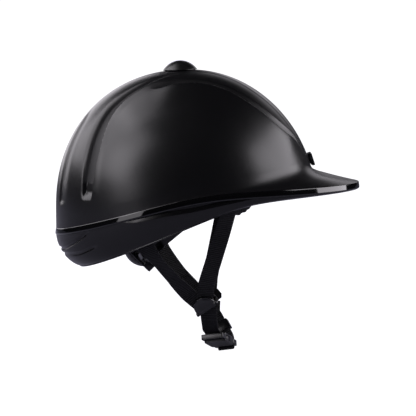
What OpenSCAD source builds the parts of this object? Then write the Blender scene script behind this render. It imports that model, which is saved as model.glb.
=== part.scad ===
/* [Dome] */
// Front of the dome, ahead of the centre of the head
dome_front = 139; // [132:1:148]
// Rear of the dome, behind the centre of the head
dome_rear = 134; // [127:1:143]
// Width of the dome at the brow
dome_w = 224; // [214:1:238]
// Top of the dome above the brow plane
dome_top = 142; // [134:1:152]
// Wall of the outer and lower shells
shell_wall = 3.6; // [3.2:0.1:4.4]
// Depth of the two swept channels at their deepest
channel_depth = 4.3; // [1.5:0.1:4.4]
// How far the side panel stands proud along the channel
panel_lip = 1.9; // [0:0.1:2.2]

/* [Peak and edge] */
// Tip of the peak, ahead of the centre of the head
peak_tip = 183; // [172:1:195]
// Height of the glossy edge trim
trim_h = 7; // [6:0.5:9]
// How far the edge trim stands proud of the shells
trim_proud = 0.8; // [0.4:0.1:1.5]
// Height of the seam above the brow plane at the front
seam_front = 26.5; // [24:0.5:30]
// Height of the rim above the brow plane where it turns up to the peak
rim_bend_z = 12.4; // [9:0.5:14]

/* [Crown button and badge] */
// Radius of the crown button
button_r = 17; // [14:0.5:20]
// Height of the crown button
button_h = 10; // [7:0.5:13]
// Width of the bare badge on the brow
badge_w = 22; // [14:1:30]
// Height of the badge
badge_h = 13; // [9:0.5:16]
// Thickness of the badge
badge_t = 4.5; // [3:0.5:6]

/* [Liner and pads] */
// Foam ahead of and behind the head
foam_end = 28; // [24:1:32]
// Foam beside the head
foam_side = 22; // [18:1:26]
// Foam over the head
foam_top = 28; // [24:1:34]
// Thickness of the comfort pads
pad_t = 7; // [5:0.5:9]
// Height of the brow pad
brow_pad_h = 27; // [22:1:34]
// Length of the crown pad
crown_pad_len = 118; // [90:1:130]
// Width of the crown pad
crown_pad_w = 84; // [60:1:96]

/* [Harness] */
// Width of the webbing
web_w = 17; // [15:0.5:20]
// Thickness of the webbing
web_t = 1.6; // [1.2:0.1:2]
// Drop of the strap dividers below the brow plane
divider_drop = 97; // [88:1:106]
// Distance between the two dividers
divider_span = 92; // [80:1:110]
// Radius of the divider's lever
divider_r = 12; // [11:0.5:14]
// Drop of the buckle's centre below the brow plane
buckle_drop = 143; // [136:1:150]

/* [Fit system] */
// Radius of the fitting dial
dial_r = 15.5; // [13:0.5:18]
// Thickness of the fitting dial
dial_t = 8; // [6:0.5:10]
// Teeth on the dial's pinion
pinion_teeth = 10; // [8:2:12]
// Pitch radius of the dial's pinion
pinion_r = 5; // [4.5:0.1:5.5]

/* [Hidden] */

// The gap left between neighbouring pieces
gap = 0.4;
// Where the crown lies, ahead of the centre of the head
crown_x = 5;
// The height at which the dome's wall stands upright
equator = -2;
// How square the dome is in plan and in its rear and front profiles
plan_power = 2.15;
rear_power = 2.15;
front_power = 2;
// The peak's plan is a rounded point: 0.5 is an ellipse, 1 a straight-sided point
peak_round = 0.56;
// How fast the peak's top rises from its edge to the dome at the front, and how much faster at the sides
peak_slope = 0.16;
peak_side_slope = 0.15;
peak_side_a = 32;
// The fillet there: how far it reaches up the dome, and its share of the peak's top
peak_fillet = 10;
fillet_share = 0.4;
// The rebate that the edge trim sits in
rebate = 1.6;
// How far the lower shell rolls under at the side, and more at the rear and front
side_roll = 6;
rear_roll = 20;
front_roll = 12;
// Depth of the liner's outer face below the outer skin
liner_in = rebate + shell_wall + gap;

// Angles round the helmet from the front, closer together across the rear channels and tongue
half_angles = concat([for (a = [0:5:125]) a], [for (a = [129:2.4:145.8]) a],
    [150, 154, 158, 161, 163, 165, 168, 172, 176]);
ring_angles = concat(half_angles, [180], [for (i = [len(half_angles) - 1:-1:1]) -half_angles[i]]);
coarse_angles = [for (a = [0:5.625:359]) a];

// Plain helpers
function ease(t) = let (u = min(1, max(0, t))) u * u * (3 - 2 * u);
function fade(x, from, to) = ease((x - from) / (to - from));
function signed_pow(v, p) = sign(v) * pow(abs(v), p);
function unit(v) = v / norm(v);
function mix(a, b, t) = a + (b - a) * t;
function bezier(a, b, c, t) = a * pow(1 - t, 2) + b * 2 * t * (1 - t) + c * t * t;

// A cubic span between two values or points, with the slope at each end
function hermite(a, b, m0, m1, t) = a * (2 * t * t * t - 3 * t * t + 1) + m0 * (t * t * t - 2 * t * t + t)
    + b * (3 * t * t - 2 * t * t * t) + m1 * (t * t * t - t * t);
// A smooth curve through a few points [x, value]
function knot_slope(p, i) = let (a = p[max(0, i - 1)], b = p[min(len(p) - 1, i + 1)])
    (b[1] - a[1]) / (b[0] - a[0]);
function knot_span(p, i, x) = let (h = p[i + 1][0] - p[i][0])
    hermite(p[i][1], p[i + 1][1], knot_slope(p, i) * h, knot_slope(p, i + 1) * h, (x - p[i][0]) / h);
// A smooth path through points in space, and directions or widths shared out along it, k steps a span
function path_slope(p, i) = let (a = max(0, i - 1), b = min(len(p) - 1, i + 1))
    (p[b] - p[a]) / (norm(p[i] - p[a]) + norm(p[b] - p[i]));
function path_at(p, i, t) = let (h = norm(p[i + 1] - p[i]))
    hermite(p[i], p[i + 1], path_slope(p, i) * h, path_slope(p, i + 1) * h, t);
function smooth(p, k) =
    concat([for (i = [0:len(p) - 2], j = [0:k - 1]) path_at(p, i, j / k)], [p[len(p) - 1]]);
function shared(v, k) =
    concat([for (i = [0:len(v) - 2], j = [0:k - 1]) mix(v[i], v[i + 1], j / k)], [v[len(v) - 1]]);
function along(p, x, i = 0) =
    x <= p[0][0] ? p[0][1]
    : x >= p[len(p) - 1][0] ? p[len(p) - 1][1]
    : x > p[i + 1][0] ? along(p, x, i + 1)
    : knot_span(p, i, x);

// The seam under the edge trim's top, and the rim, as heights along the helmet
seam_slope = 0.31;
seam_bend_x = 20;
seam_bend = 45;
rim_slope_rear = 0.44;
rim_slope_front = 0.05;
rim_bend_x = 60;
rim_bend = 25;
function seam_z(x) = let (u = x - seam_bend_x)
    seam_front + seam_slope / 2 * (u - sqrt(u * u + seam_bend * seam_bend));
function rim_z(x) = let (u = x - rim_bend_x)
    rim_bend_z + (rim_slope_rear + rim_slope_front) / 2 * u
    - (rim_slope_rear - rim_slope_front) / 2 * sqrt(u * u + rim_bend * rim_bend);

// The dome's skin at angle a round it and angle t down from the crown, d below the outer surface
function reach(a) = cos(a) >= 0 ? dome_front - crown_x : dome_rear + crown_x;
function dome_power(a) = cos(a) >= 0 ? mix(front_power, rear_power, abs(sin(a))) : rear_power;
function plan_pt(a, d) = [crown_x + (reach(a) - d) * signed_pow(cos(a), 2 / plan_power),
    (dome_w / 2 - d) * signed_pow(sin(a), 2 / plan_power)];
function skin_pt(a, t, d) = let (
    p = plan_pt(a, d),
    f = t > 90 ? 1 : pow(sin(t), 2 / dome_power(a)),
    z = t > 90 ? equator - (t - 90) : equator + (dome_top - equator - d) * pow(cos(t), 2 / dome_power(a)))
    [crown_x + (p[0] - crown_x) * f, p[1] * f, z];

// The edge of the peak and the seam, its outward direction, and its height
function edge_pt(a) = cos(a) < 0 ? plan_pt(a, 0)
    : [crown_x + (peak_tip - crown_x) * cos(a), dome_w / 2 * signed_pow(sin(a), 2 * peak_round)];
function edge_out(a) = let (v = edge_pt(a + 1) - edge_pt(a - 1)) unit([v[1], -v[0]]);
function inset(a, d) = edge_pt(a) - edge_out(a) * d;
function edge_z(a) = seam_z(edge_pt(a)[0]);
function on_edge(a, d, z) = let (p = inset(a, d)) [p[0], p[1], z];

// Where the dome meets the peak's top: halving the span 16 times finds the angle
function slope_at(a) = peak_slope + peak_side_slope * fade(abs(a), 0, peak_side_a);
function above_peak(a, t) = let (p = skin_pt(a, t, 0), e = edge_pt(a))
    p[2] - edge_z(a) - slope_at(a) * norm([p[0] - e[0], p[1] - e[1]]);
function foot_angle(a, lo = 20, hi = 140, n = 16) = n == 0 ? (lo + hi) / 2
    : above_peak(a, (lo + hi) / 2) > 0 ? foot_angle(a, (lo + hi) / 2, hi, n - 1)
    : foot_angle(a, lo, (lo + hi) / 2, n - 1);
function height_angle(a, z, d, lo = 20, hi = 160, n = 16) = n == 0 ? (lo + hi) / 2
    : skin_pt(a, (lo + hi) / 2, d)[2] > z ? height_angle(a, z, d, (lo + hi) / 2, hi, n - 1)
    : height_angle(a, z, d, lo, (lo + hi) / 2, n - 1);

// The lower shell's wall: v runs from the seam, 0, to the rim, 1
function roll(a) = side_roll + (cos(a) < 0 ? rear_roll : front_roll) * pow(cos(a), 2);
function tuck(v) = 1 - pow(1 - pow(v, 1.7), 1 / 1.7);
function rim_height(a) = rim_z(plan_pt(a, roll(a))[0]);
function low_pt(a, v, d) = let (
    e = inset(a, d),
    r = plan_pt(a, roll(a)),
    p = mix(e, r, tuck(v)),
    top = edge_z(a) - trim_h)
    [p[0], p[1], mix(top, rim_height(a) + d, v)];

// The channel's inner edge beside the spine, and the width of its front part, along the helmet
channel_edge = [[-102, 78.3], [-95, 69.2], [-87, 59.6], [-76, 50.8], [-63, 45.9], [-40, 38.6], [-8, 24],
    [20, 18.2], [46, 21], [76, 28], [120, 30]];
channel_width = [[-40, 8], [-24, 19], [5, 29], [30, 32], [76, 27], [100, 21], [120, 1]];
front_run = [-34, -4, 106, 121];
// How wide the slope is that leads down to the side panel
front_slope = 11;
// Its rear part is a groove: the spine rolls down into it, and a gentle ramp leads out of it below the notch
groove_width = [[-93, 9.7], [-86, 13.8], [-80, 13.3], [-72, 10.8], [-62, 8.2], [-40, 4.6], [-30, 3.9]];
groove_roll = [[-70, 10], [-30, 6], [-10, 4]];
groove_depth = [[-66, 1], [-36, 0.6], [-24, 0.4], [0, 0]];
groove_ramp = [[-78, 0.4], [-73, 0]];
groove_lip = 0.3;
// The bottom of the rear groove, and how high it rises to its full depth
pocket_z = 21;
pocket_rise = 8;
// A soft bead along the spine's shoulder
spine_bead = 0.35;
// The raised tongue down the middle of the rear: half its width at each height
tongue_edge = [[5, 38], [30, 36], [50, 32.8], [71, 27.4], [92, 18.7], [110, 4]];
tongue_depth = 1.4;
function clamped(t) = min(1, max(0, t));
function hump(v, k) = fade(v, k[0], k[1]) * (1 - fade(v, k[2], k[3]));
function across(x, y) = let (s = (along(channel_edge, x + 2) - along(channel_edge, x - 2)) / 4)
    (abs(y) - along(channel_edge, x)) / sqrt(1 + s * s);
function beside_tongue(p) = let (d = abs(p[1]) - along(tongue_edge, p[2]))
    p[0] > -70 ? 0 : tongue_depth * hump(d, [-1.5, 1.5, 1.5, 18]) * hump(p[2], [4, 10, 88, 106]);
// At the rear the channel is deepest beside the spine, and over the top beside the side panel
function relief(p) = let (
    x = p[0],
    c = across(x, p[1]),
    w = along(channel_width, x),
    g = along(groove_width, x),
    front = hump(x, front_run),
    groove = along(groove_depth, x) * pow(clamped((p[2] - pocket_z) / pocket_rise + 1), 1.15),
    roll = pow(clamped(c / along(groove_roll, x) + 1), 3.4),
    ramp = (1 - along(groove_ramp, x) * clamped(c / g)) * (1 - fade(c, g, g + 1.5)),
    floor_here = pow(clamped((c - w) / min(front_slope, w) + 1), 1.4) * (1 - fade(c, w - 0.3, w + 1.5)))
    channel_depth * max(groove * min(roll, ramp), front * floor_here) + beside_tongue(p)
    - panel_lip * max(front * hump(c, [w, w + 1.5, w + 1.5, w + 26]),
        groove_lip * groove * hump(c, [g, g + 1.5, g + 1.5, g + 10]))
    - spine_bead * front * hump(c, [-4, -0.5, -0.5, 2.5]);

// Solids from rings of points: between two poles, closed in a loop, or swept with flat ends
function quads(rows, n, closed) = [for (r = [0:rows - 2], i = [0:n - (closed ? 1 : 2)])
    let (j = (i + 1) % n, here = r * n, next = (r + 1) * n)
        each [[here + i, here + j, next + j], [here + i, next + j, next + i]]];
module pole_solid(first, rings, last) {
    n = len(rings[0]);
    k = len(rings);
    polyhedron(points = concat([for (r = rings) each r], [first, last]),
        faces = concat(quads(k, n, true),
            [for (i = [0:n - 1]) [k * n, (i + 1) % n, i]],
            [for (i = [0:n - 1]) [(k - 1) * n + i, (k - 1) * n + (i + 1) % n, k * n + 1]]), convexity = 6);
}
module ring_solid(rings) {
    n = len(rings[0]);
    polyhedron(points = [for (r = concat(rings, [])) each r],
        faces = concat(quads(len(rings), n, true),
            [for (i = [0:n - 1]) let (j = (i + 1) % n, b = (len(rings) - 1) * n)
                each [[b + i, b + j, j], [b + i, j, i]]]), convexity = 6);
}
module swept_solid(sections) {
    m = len(sections[0]);
    k = len(sections);
    rings = [for (j = [0:m - 1]) [for (s = sections) s[j]]];
    polyhedron(points = [for (s = sections) each s],
        faces = concat(
            [for (i = [0:k - 2], j = [0:m - 1]) let (h = (j + 1) % m, here = i * m, next = (i + 1) * m)
                each [[here + j, next + j, next + h], [here + j, next + h, here + h]]],
            [for (j = [1:m - 2]) [0, j, j + 1]],
            [for (j = [1:m - 2]) [(k - 1) * m, (k - 1) * m + j + 1, (k - 1) * m + j]]), convexity = 6);
}

// The outer shell: dome and the peak's top as one moulding, whose inside follows the relief a little
dome_rows = 18;
fillet_rows = 5;
inner_rows = 10;
inner_share = 0.39;
function fillet_start(a) = foot_angle(a) - peak_fillet * 0.44;
function carved(p, a, share) = let (n = unit([(p[0] - crown_x) / pow(reach(a), 2), p[1] / pow(dome_w / 2, 2),
    max(0, p[2] - equator) / pow(dome_top - equator, 2)]))
    p - n * relief(p) * share;
module outer_shell() {
    feet = [for (a = ring_angles) foot_angle(a)];
    count = len(ring_angles);
    outer = [for (k = [1:dome_rows]) [for (i = [0:count - 1]) let (a = ring_angles[i])
        carved(skin_pt(a, fillet_start(a) * k / dome_rows, 0), a, 1)]];
    peak = [for (k = [1:fillet_rows]) [for (i = [0:count - 1]) let (
        a = ring_angles[i],
        foot = skin_pt(a, feet[i], 0),
        edge = on_edge(a, 0, edge_z(a)),
        crisp = fade(cos(a), 0.05, 0.3))
        k == fillet_rows ? edge : bezier(skin_pt(a, fillet_start(a), 0), foot,
            mix(edge, mix(foot, edge, fillet_share), crisp), k / (fillet_rows - crisp))]];
    lip = [
        [for (a = ring_angles) on_edge(a, rebate, edge_z(a) - gap / 4)],
        [for (a = ring_angles) on_edge(a, rebate, edge_z(a) - trim_h / 2 + gap / 4)],
        [for (a = ring_angles) on_edge(a, rebate + shell_wall, edge_z(a) - trim_h / 2 + gap / 4)]];
    under = [for (k = [1:2]) [for (i = [0:count - 1]) let (a = ring_angles[i])
        bezier(on_edge(a, rebate + shell_wall, edge_z(a) - trim_h / 2 + gap / 4),
            skin_pt(a, feet[i], shell_wall) - [0, 0, shell_wall],
            skin_pt(a, fillet_start(a) - 2, shell_wall), k / 3)]];
    inner = [for (k = [inner_rows:-1:1]) [for (a = ring_angles)
        carved(skin_pt(a, (fillet_start(a) - 2) * k / inner_rows, shell_wall), a, inner_share)]];
    color("#26272a")
        pole_solid([crown_x, 0, dome_top], concat(outer, peak, lip, under, inner),
            [crown_x, 0, dome_top - shell_wall]);
}

// The glossy strip that covers the seam and runs round the peak
module edge_trim() {
    top = -gap / 2;
    low = -trim_h + gap / 2;
    section = [[rebate - gap / 2, top], [-trim_proud * 0.4, top], [-trim_proud, top - 1.2],
        [-trim_proud, low + 1.2], [-trim_proud * 0.4, low], [rebate - gap / 2, low]];
    color("#101012")
        ring_solid([for (s = section) [for (a = ring_angles) on_edge(a, s[0], edge_z(a) + s[1])]]);
}

// The lower shell: upright under the trim down to a break along each side, with two folds round the rear.
// Each line gives how far below the trim it lies, along the helmet
crease_line = [[-58, 0], [-48, 3.2], [-20, 4.8], [11, 6.6], [35, 5], [58, 2.2], [68, 0]];
crease_lean = 0.34;
crease_most = 1.5;
fold_lines = [[[-124, 14.5], [-118, 12], [-106, 6.8], [-96, 1.4]],
    [[-124, 21], [-114, 21.6], [-106, 21.8], [-96, 19.4], [-86, 16.6]]];
fold_ends = [-94, -84];
fold_depth = 1.5;
function below_trim(p) = seam_z(p[0]) - trim_h - p[2];
function side_crease(p) = min(crease_most, crease_lean * max(0, along(crease_line, p[0]) - below_trim(p)));
function fold(p, i) = let (at = along(fold_lines[i], p[0]))
    hump(below_trim(p), [at - 2, at, at, at + 4]) * (1 - fade(p[0], fold_ends[i] - 10, fold_ends[i]));
function rear_folds(p) = fold_depth * (fold(p, 0) + fold(p, 1));
module lower_shell() {
    steps = [0, 0.07, 0.14, 0.23, 0.34, 0.46, 0.6, 0.74, 0.88, 1];
    tongue = [
        [for (a = ring_angles) on_edge(a, rebate + shell_wall, edge_z(a) - trim_h / 2 - gap / 4)],
        [for (a = ring_angles) on_edge(a, rebate, edge_z(a) - trim_h / 2 - gap / 4)],
        [for (a = ring_angles) on_edge(a, rebate, edge_z(a) - trim_h + gap / 4)]];
    outer = [for (v = steps) [for (a = ring_angles) let (
        p = low_pt(a, v, 0),
        n = edge_out(a),
        c = cos(a) < 0 || abs(sin(a)) > 0.8 ? side_crease(p) + rear_folds(p) : 0)
        [p[0] - n[0] * c, p[1] - n[1] * c, p[2]]]];
    inner = [for (v = [1, 0.75, 0.45, 0.15]) [for (a = ring_angles) low_pt(a, v, shell_wall)]];
    color("#1b1c1f")
        ring_solid(concat(tongue, outer, inner));
}

// The foam liner and the head cavity inside it
cavity_rows = 12;
cavity_top = dome_top - liner_in - foam_top;
function liner_floor(a) = rim_height(a) + shell_wall + gap;
function cavity_plan(a, d) = [
    crown_x + (reach(a) - liner_in - foam_end - d) * signed_pow(cos(a), 2 / plan_power),
    (dome_w / 2 - liner_in - foam_side - d) * signed_pow(sin(a), 2 / plan_power)];
// A point on the cavity's wall, d inside it, at the height z
function cavity_at(a, z, d) = let (
    h = max(0, z - equator) / (cavity_top - equator - d),
    f = h >= 1 ? 0 : pow(1 - pow(h, rear_power), 1 / rear_power),
    p = cavity_plan(a, d))
    [crown_x + (p[0] - crown_x) * f, p[1] * f, z];
module eps_liner() {
    angles = coarse_angles;
    rows = 9;
    base = [for (a = angles) height_angle(a, edge_z(a) - trim_h / 2, liner_in)];
    outer = [for (k = [1:rows]) [for (i = [0:len(angles) - 1])
        skin_pt(angles[i], base[i] * k / rows, liner_in)]];
    low = [for (v = [0.3, 0.6, 0.85, 1]) [for (i = [0:len(angles) - 1]) let (
        a = angles[i],
        s = skin_pt(a, base[i], liner_in),
        r = plan_pt(a, max(liner_in, roll(a))),
        p = mix([s[0], s[1]], r, tuck(v)))
        [p[0], p[1], mix(s[2], liner_floor(a), v)]]];
    inner = [for (k = [0:cavity_rows]) [for (a = angles)
        k < cavity_rows ? cavity_at(a, mix(liner_floor(a), cavity_top, sin(k / (cavity_rows + 1) * 90)), 0)
            : cavity_at(a, mix(equator, cavity_top, 0.99), 0)]];
    color("#e8e8e6")
        pole_solid([crown_x, 0, dome_top - liner_in], concat(outer, low, inner), [crown_x, 0, cavity_top]);
}

// The crown button snaps on a stud that is bonded to the shell
button_x = -4;
button_tilt = -2.7;
button_seat = dome_top - 0.6;
button_wall = 3;
stud_r = 2.5;
stud_disc_t = 1.2;
module on_button() {
    translate([button_x, 0, button_seat]) rotate([0, button_tilt, 0]) children();
}
module crown_button() {
    cap_r = (button_r * button_r + button_h * button_h) / (2 * button_h);
    color("#1d1e21")
        on_button() difference() {
            intersection() {
                cylinder(r = button_r, h = button_h + 1, $fn = 64);
                translate([0, 0, button_h - cap_r]) sphere(r = cap_r, $fn = 64);
            }
            translate([0, 0, -1]) cylinder(r = button_r - button_wall, h = 1 + button_h / 3, $fn = 48);
            cylinder(r = stud_r + 0.05, h = button_h * 0.7, $fn = 32);
        }
}
module button_stud() {
    color("silver")
        on_button() {
            translate([0, 0, stud_disc_t / 2])
                cylinder(r = stud_r, h = button_h * 0.7 - gap - stud_disc_t / 2, $fn = 32);
            translate([0, 0, stud_disc_t / 2 + 0.1])
                cylinder(r = button_r - button_wall - 1, h = stud_disc_t, $fn = 48);
        }
}

// The bare badge on the brow, tilted with the dome
badge_z = 48;
badge_bevel = 1.8;
module front_badge() {
    t = height_angle(0, badge_z, 0);
    p = skin_pt(0, t, 0);
    q = skin_pt(0, t + 1, 0);
    lean = atan2(q[0] - p[0], p[2] - q[2]);
    color("#151517")
        translate([p[0], 0, badge_z]) rotate([0, -lean, 0]) rotate([90, 0, 0])
            linear_extrude(badge_w, center = true)
                polygon([[gap / 2, badge_h / 2], [gap / 2, badge_bevel - badge_h / 2],
                    [badge_bevel, -badge_h / 2], [badge_t, -badge_h / 2], [badge_t, badge_h / 2]]);
}

// A padded strip on the cavity's wall: pad_low gives its lower edge, sewn lines pinch it
pad_gap = 0.5;
pad_profile = [[0.08, 0], [0.5, 0], [0.92, 0], [1, 0.42], [0.8, 0.9], [0.5, 1], [0.2, 0.9], [0, 0.42]];
function inward(a) = let (v = cavity_plan(a + 1, 0) - cavity_plan(a - 1, 0)) unit([-v[1], v[0]]);
function pinch(s, channels) = 1 - 0.45 * pow(abs(cos(180 * s * channels)), 12);
module pad_strip(from, to, steps, height, channels, low) {
    sections = [for (i = [0:steps]) let (
        s = i / steps,
        a = mix(from, to, s),
        end = pow(sin(180 * mix(0.12, 0.88, s)), 0.35),
        n = inward(a),
        z0 = low[0] + (low[1] - low[0]) * ease((abs(a) - low[2]) / (low[3] - low[2])))
        [for (q = pad_profile) let (
            z = z0 + height * (0.5 + (q[0] - 0.5) * end),
            w = cavity_at(a, z, 0),
            t = pad_gap + (q[1] == 0 ? 0 : pad_t * q[1] * pinch(s, channels) * end))
            [w[0] + n[0] * t, w[1] + n[1] * t, z]]];
    swept_solid([for (i = [steps:-1:0]) sections[i]]);
}
// The brow pad hangs below the rim at the temples, where the photograph shows it
brow_pad_span = 74;
brow_low_front = 20;
brow_low_side = -8;
brow_drop_from = brow_pad_span - 42;
brow_drop_to = brow_pad_span - 12;
module brow_pad() {
    color("#232326")
        pad_strip(-brow_pad_span, brow_pad_span, 42, brow_pad_h, 7,
            [brow_low_front, brow_low_side, brow_drop_from, brow_drop_to]);
}
side_pad_from = brow_pad_span + 13;
side_pad_to = side_pad_from + 41;
side_pad_low = 0;
side_pad_drop = 4;
module side_pad(s) {
    low = [side_pad_low, side_pad_low - side_pad_drop, side_pad_from, side_pad_to];
    color("#232326")
        if (s > 0) pad_strip(side_pad_from, side_pad_to, 16, brow_pad_h - 3, 2, low);
        else pad_strip(-side_pad_to, -side_pad_from, 16, brow_pad_h - 3, 2, low);
}
module side_pad_left() { side_pad(1); }
module side_pad_right() { side_pad(-1); }

// The crown pad: an oval under the cavity's top with sewn tufts
function crown_tuft(x, y) = 0.35 * pow(abs(cos(x * 6) * cos(y * 6)), 6);
function under_crown(x, y, d) = let (
    rx = reach(0) - liner_in - foam_end - d,
    ry = dome_w / 2 - liner_in - foam_side - d,
    t = pow(pow(abs(x - crown_x) / rx, plan_power) + pow(abs(y) / ry, plan_power), rear_power / plan_power))
    equator + (cavity_top - equator - d) * pow(1 - t, 1 / rear_power);
module crown_pad() {
    angles = [for (a = [0:11.25:359]) a];
    function spot(a, s) = [crown_x + crown_pad_len / 2 * s * cos(a), crown_pad_w / 2 * s * sin(a)];
    upper = [for (s = [0.3, 0.6, 0.85, 0.96]) [for (a = angles) let (p = spot(a, s))
        [p[0], p[1], under_crown(p[0], p[1], 0) - pad_gap - 0.6]]];
    lower = [for (s = [1, 0.93, 0.8, 0.62, 0.44, 0.24]) [for (a = angles) let (
        p = spot(a, s),
        t = pad_t * pow(1 - pow(s, 6), 0.5) * (1 - crown_tuft(p[0] - crown_x, p[1])) + (s == 1 ? 1.5 : 0.5))
        [p[0], p[1], under_crown(p[0], p[1], 0) - pad_gap - 0.6 - t]]];
    color("#232326")
        pole_solid([crown_x, 0, cavity_top - pad_gap - 0.6], concat(upper, lower),
            [crown_x, 0, cavity_top - pad_gap - 0.6 - pad_t * 0.7]);
}

// A flat strip along points: each has the direction of its width, and its width. A slanted strip's first end
// lies along its own first direction
module ribbon(points, dirs, widths, thick, slanted = false) {
    n = len(points);
    swept_solid([for (i = [0:n - 1]) let (
        d = unit(points[min(n - 1, i + 1)] - points[max(0, i - 1)]),
        w = unit(dirs[i] - d * (dirs[i] * d)),
        u = (slanted && i == 0 ? dirs[0] / (dirs[0] * w) : w) * widths[i] / 2,
        m = cross(d, w) * thick / 2)
        [points[i] + u - m, points[i] + u + m, points[i] - u + m, points[i] - u - m]]);
}
// Webbing through a few points, as a smooth path
module webbing(points, dirs, steps = 4, slanted = false) {
    path = smooth(points, steps);
    color("#17171a")
        ribbon(path, shared(dirs, steps), [for (p = path) web_w], web_t, slanted);
}
// The two sides of the harness: s is 1 for the wearer's left, -1 for the right
divider_x = 24.5;
strap_skew = 2;
strap_hang = 9;
divider_lean = 26;
// The left divider hangs lower and a little ahead of the right one
function divider_at(s) =
    [divider_x + s * strap_skew, s * divider_span / 2, -divider_drop - max(0, s) * strap_hang];
// A direction or offset in a divider's own frame: along X, up its face, and out from it
function face_up(s) = [0, s * sin(divider_lean), cos(divider_lean)];
function face_out(s) = [0, s * cos(divider_lean), -sin(divider_lean)];
function on_divider(s, x, y, z) = divider_at(s) + [x, 0, 0] + face_up(s) * y + face_out(s) * z;

// The straps hang from brackets under the foam, inside the lower shell
anchor_l = web_w + 5;
anchor_w = 8;
anchor_h = 2.6;
anchor_peg_r = 2.5;
anchor_peg_h = 8;
front_anchor_a = 72;
rear_anchor_a = 109;
anchor_in = liner_in + foam_side * 0.42;
function anchor_spot(a) = let (p = plan_pt(a, anchor_in)) [p[0], p[1], liner_floor(a) - 2 * gap];
// Forward along the rim at an anchor
function anchor_dir(a) = let (g = 3 * sign(a), p = plan_pt(a - g, liner_in), q = plan_pt(a + g, liner_in))
    unit([p[0] - q[0], p[1] - q[1], liner_floor(a - g) - liner_floor(a + g)]);
module anchor(a) {
    v = anchor_dir(a);
    color("#101012")
        translate(anchor_spot(a)) rotate([0, 0, atan2(v[1], v[0])]) rotate([0, -asin(v[2]), 0]) {
            translate([-anchor_l / 2, -anchor_w / 2, -anchor_h]) cube([anchor_l, anchor_w, anchor_h]);
            for (x = [-anchor_l / 3, anchor_l / 3])
                translate([x, 0, -0.5]) cylinder(r = anchor_peg_r, h = anchor_peg_h, $fn = 24);
        }
}
module front_anchor_left() { anchor(front_anchor_a); }
module front_anchor_right() { anchor(-front_anchor_a); }
module rear_anchor_left() { anchor(rear_anchor_a); }
module rear_anchor_right() { anchor(-rear_anchor_a); }

// Between a divider's base and its lever the rear strap lies under the front and chin straps
layer_gap = 0.3;
rear_layer = layer_gap + web_t / 2;
front_layer = rear_layer + web_t + layer_gap;
lever_lift = 2 * web_t + 3 * layer_gap;
rear_slack = 4;
function anchor_down(a) = let (v = anchor_dir(a)) unit(v * v[2] - [0, 0, 1]);
function strap_top(a) = anchor_spot(a) + anchor_down(a) * (anchor_h + 2.5 * gap);
module front_strap(s) {
    a = s * front_anchor_a;
    top = strap_top(a);
    knee = on_divider(s, 1.2, divider_r + 14, front_layer);
    webbing([top, mix(top, knee, 0.35), mix(top, knee, 0.7), knee,
        on_divider(s, 0.2, divider_r + 2, front_layer), on_divider(s, -1.5, 1.5, front_layer)],
        [anchor_dir(a), [1, 0, 0.1], [1, 0, 0.1], [1, 0, 0], [1, 0, 0], [1, 0, 0]], slanted = true);
}
module front_strap_left() { front_strap(1); }
module front_strap_right() { front_strap(-1); }
module rear_strap(s) {
    a = s * rear_anchor_a;
    top = strap_top(a);
    knee = on_divider(s, -divider_r - 5, 11.3, rear_layer);
    // The left strap is slack and hangs lower
    bow = [0, 0, -1 - max(0, s) * rear_slack];
    flat = [1, 0, 0] + face_up(s);
    webbing([top, mix(top, knee, 0.3) + bow, mix(top, knee, 0.66) + bow, knee,
        on_divider(s, -11, 5, rear_layer), on_divider(s, -5, -1, rear_layer)],
        [anchor_dir(a), [0.76, s * 0.62, 0.2], [0.78, s * 0.55, 0.33], flat, flat, flat], slanted = true);
}
module rear_strap_left() { rear_strap(1); }
module rear_strap_right() { rear_strap(-1); }

// A divider: base plate with two ears, and a lever that folds down over the straps
divider_turn = 40;
lever_flat = 0.42 * divider_r;
lever_t = 5.2;
lever_dome_r = 26;
base_t = 2.2;
hinge_r = 1.2;
barrel_r = 2.1;
ear_t = 1.6;
hinge_y = -lever_flat + barrel_r;
hinge_z = lever_lift + barrel_r;
ear_in = divider_r - 0.3;
module in_divider(s) {
    translate(divider_at(s)) mirror([0, s > 0 ? 1 : 0, 0])
        rotate([90 + divider_lean, 0, 0]) rotate([0, 0, divider_turn]) children();
}
// Outline of the lever and base: a disc cut straight across the hinge side
module d_plate(r, flat, h) {
    linear_extrude(h) difference() {
        circle(r = r, $fn = 64);
        translate([-2 * r, -flat - 2 * r]) square([4 * r, 2 * r]);
    }
}
module on_hinge(r, l) {
    translate([0, hinge_y, hinge_z]) rotate([0, 90, 0]) cylinder(r = r, h = l, center = true, $fn = 32);
}
module divider_base(s) {
    color("#141416")
        in_divider(s) difference() {
            union() {
                translate([0, 0, -base_t]) d_plate(divider_r + 1.5, lever_flat + 3, base_t);
                for (x = [-1, 1])
                    translate([x * (ear_in + ear_t / 2), hinge_y, 0]) {
                        translate([-ear_t / 2, -barrel_r, -base_t])
                            cube([ear_t, 2 * barrel_r, base_t + hinge_z]);
                        translate([0, 0, hinge_z]) rotate([0, 90, 0])
                            cylinder(r = barrel_r, h = ear_t, center = true, $fn = 32);
                    }
            }
            on_hinge(hinge_r + 0.05, 4 * divider_r);
        }
}
module divider_base_left() { divider_base(1); }
module divider_base_right() { divider_base(-1); }
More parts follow.
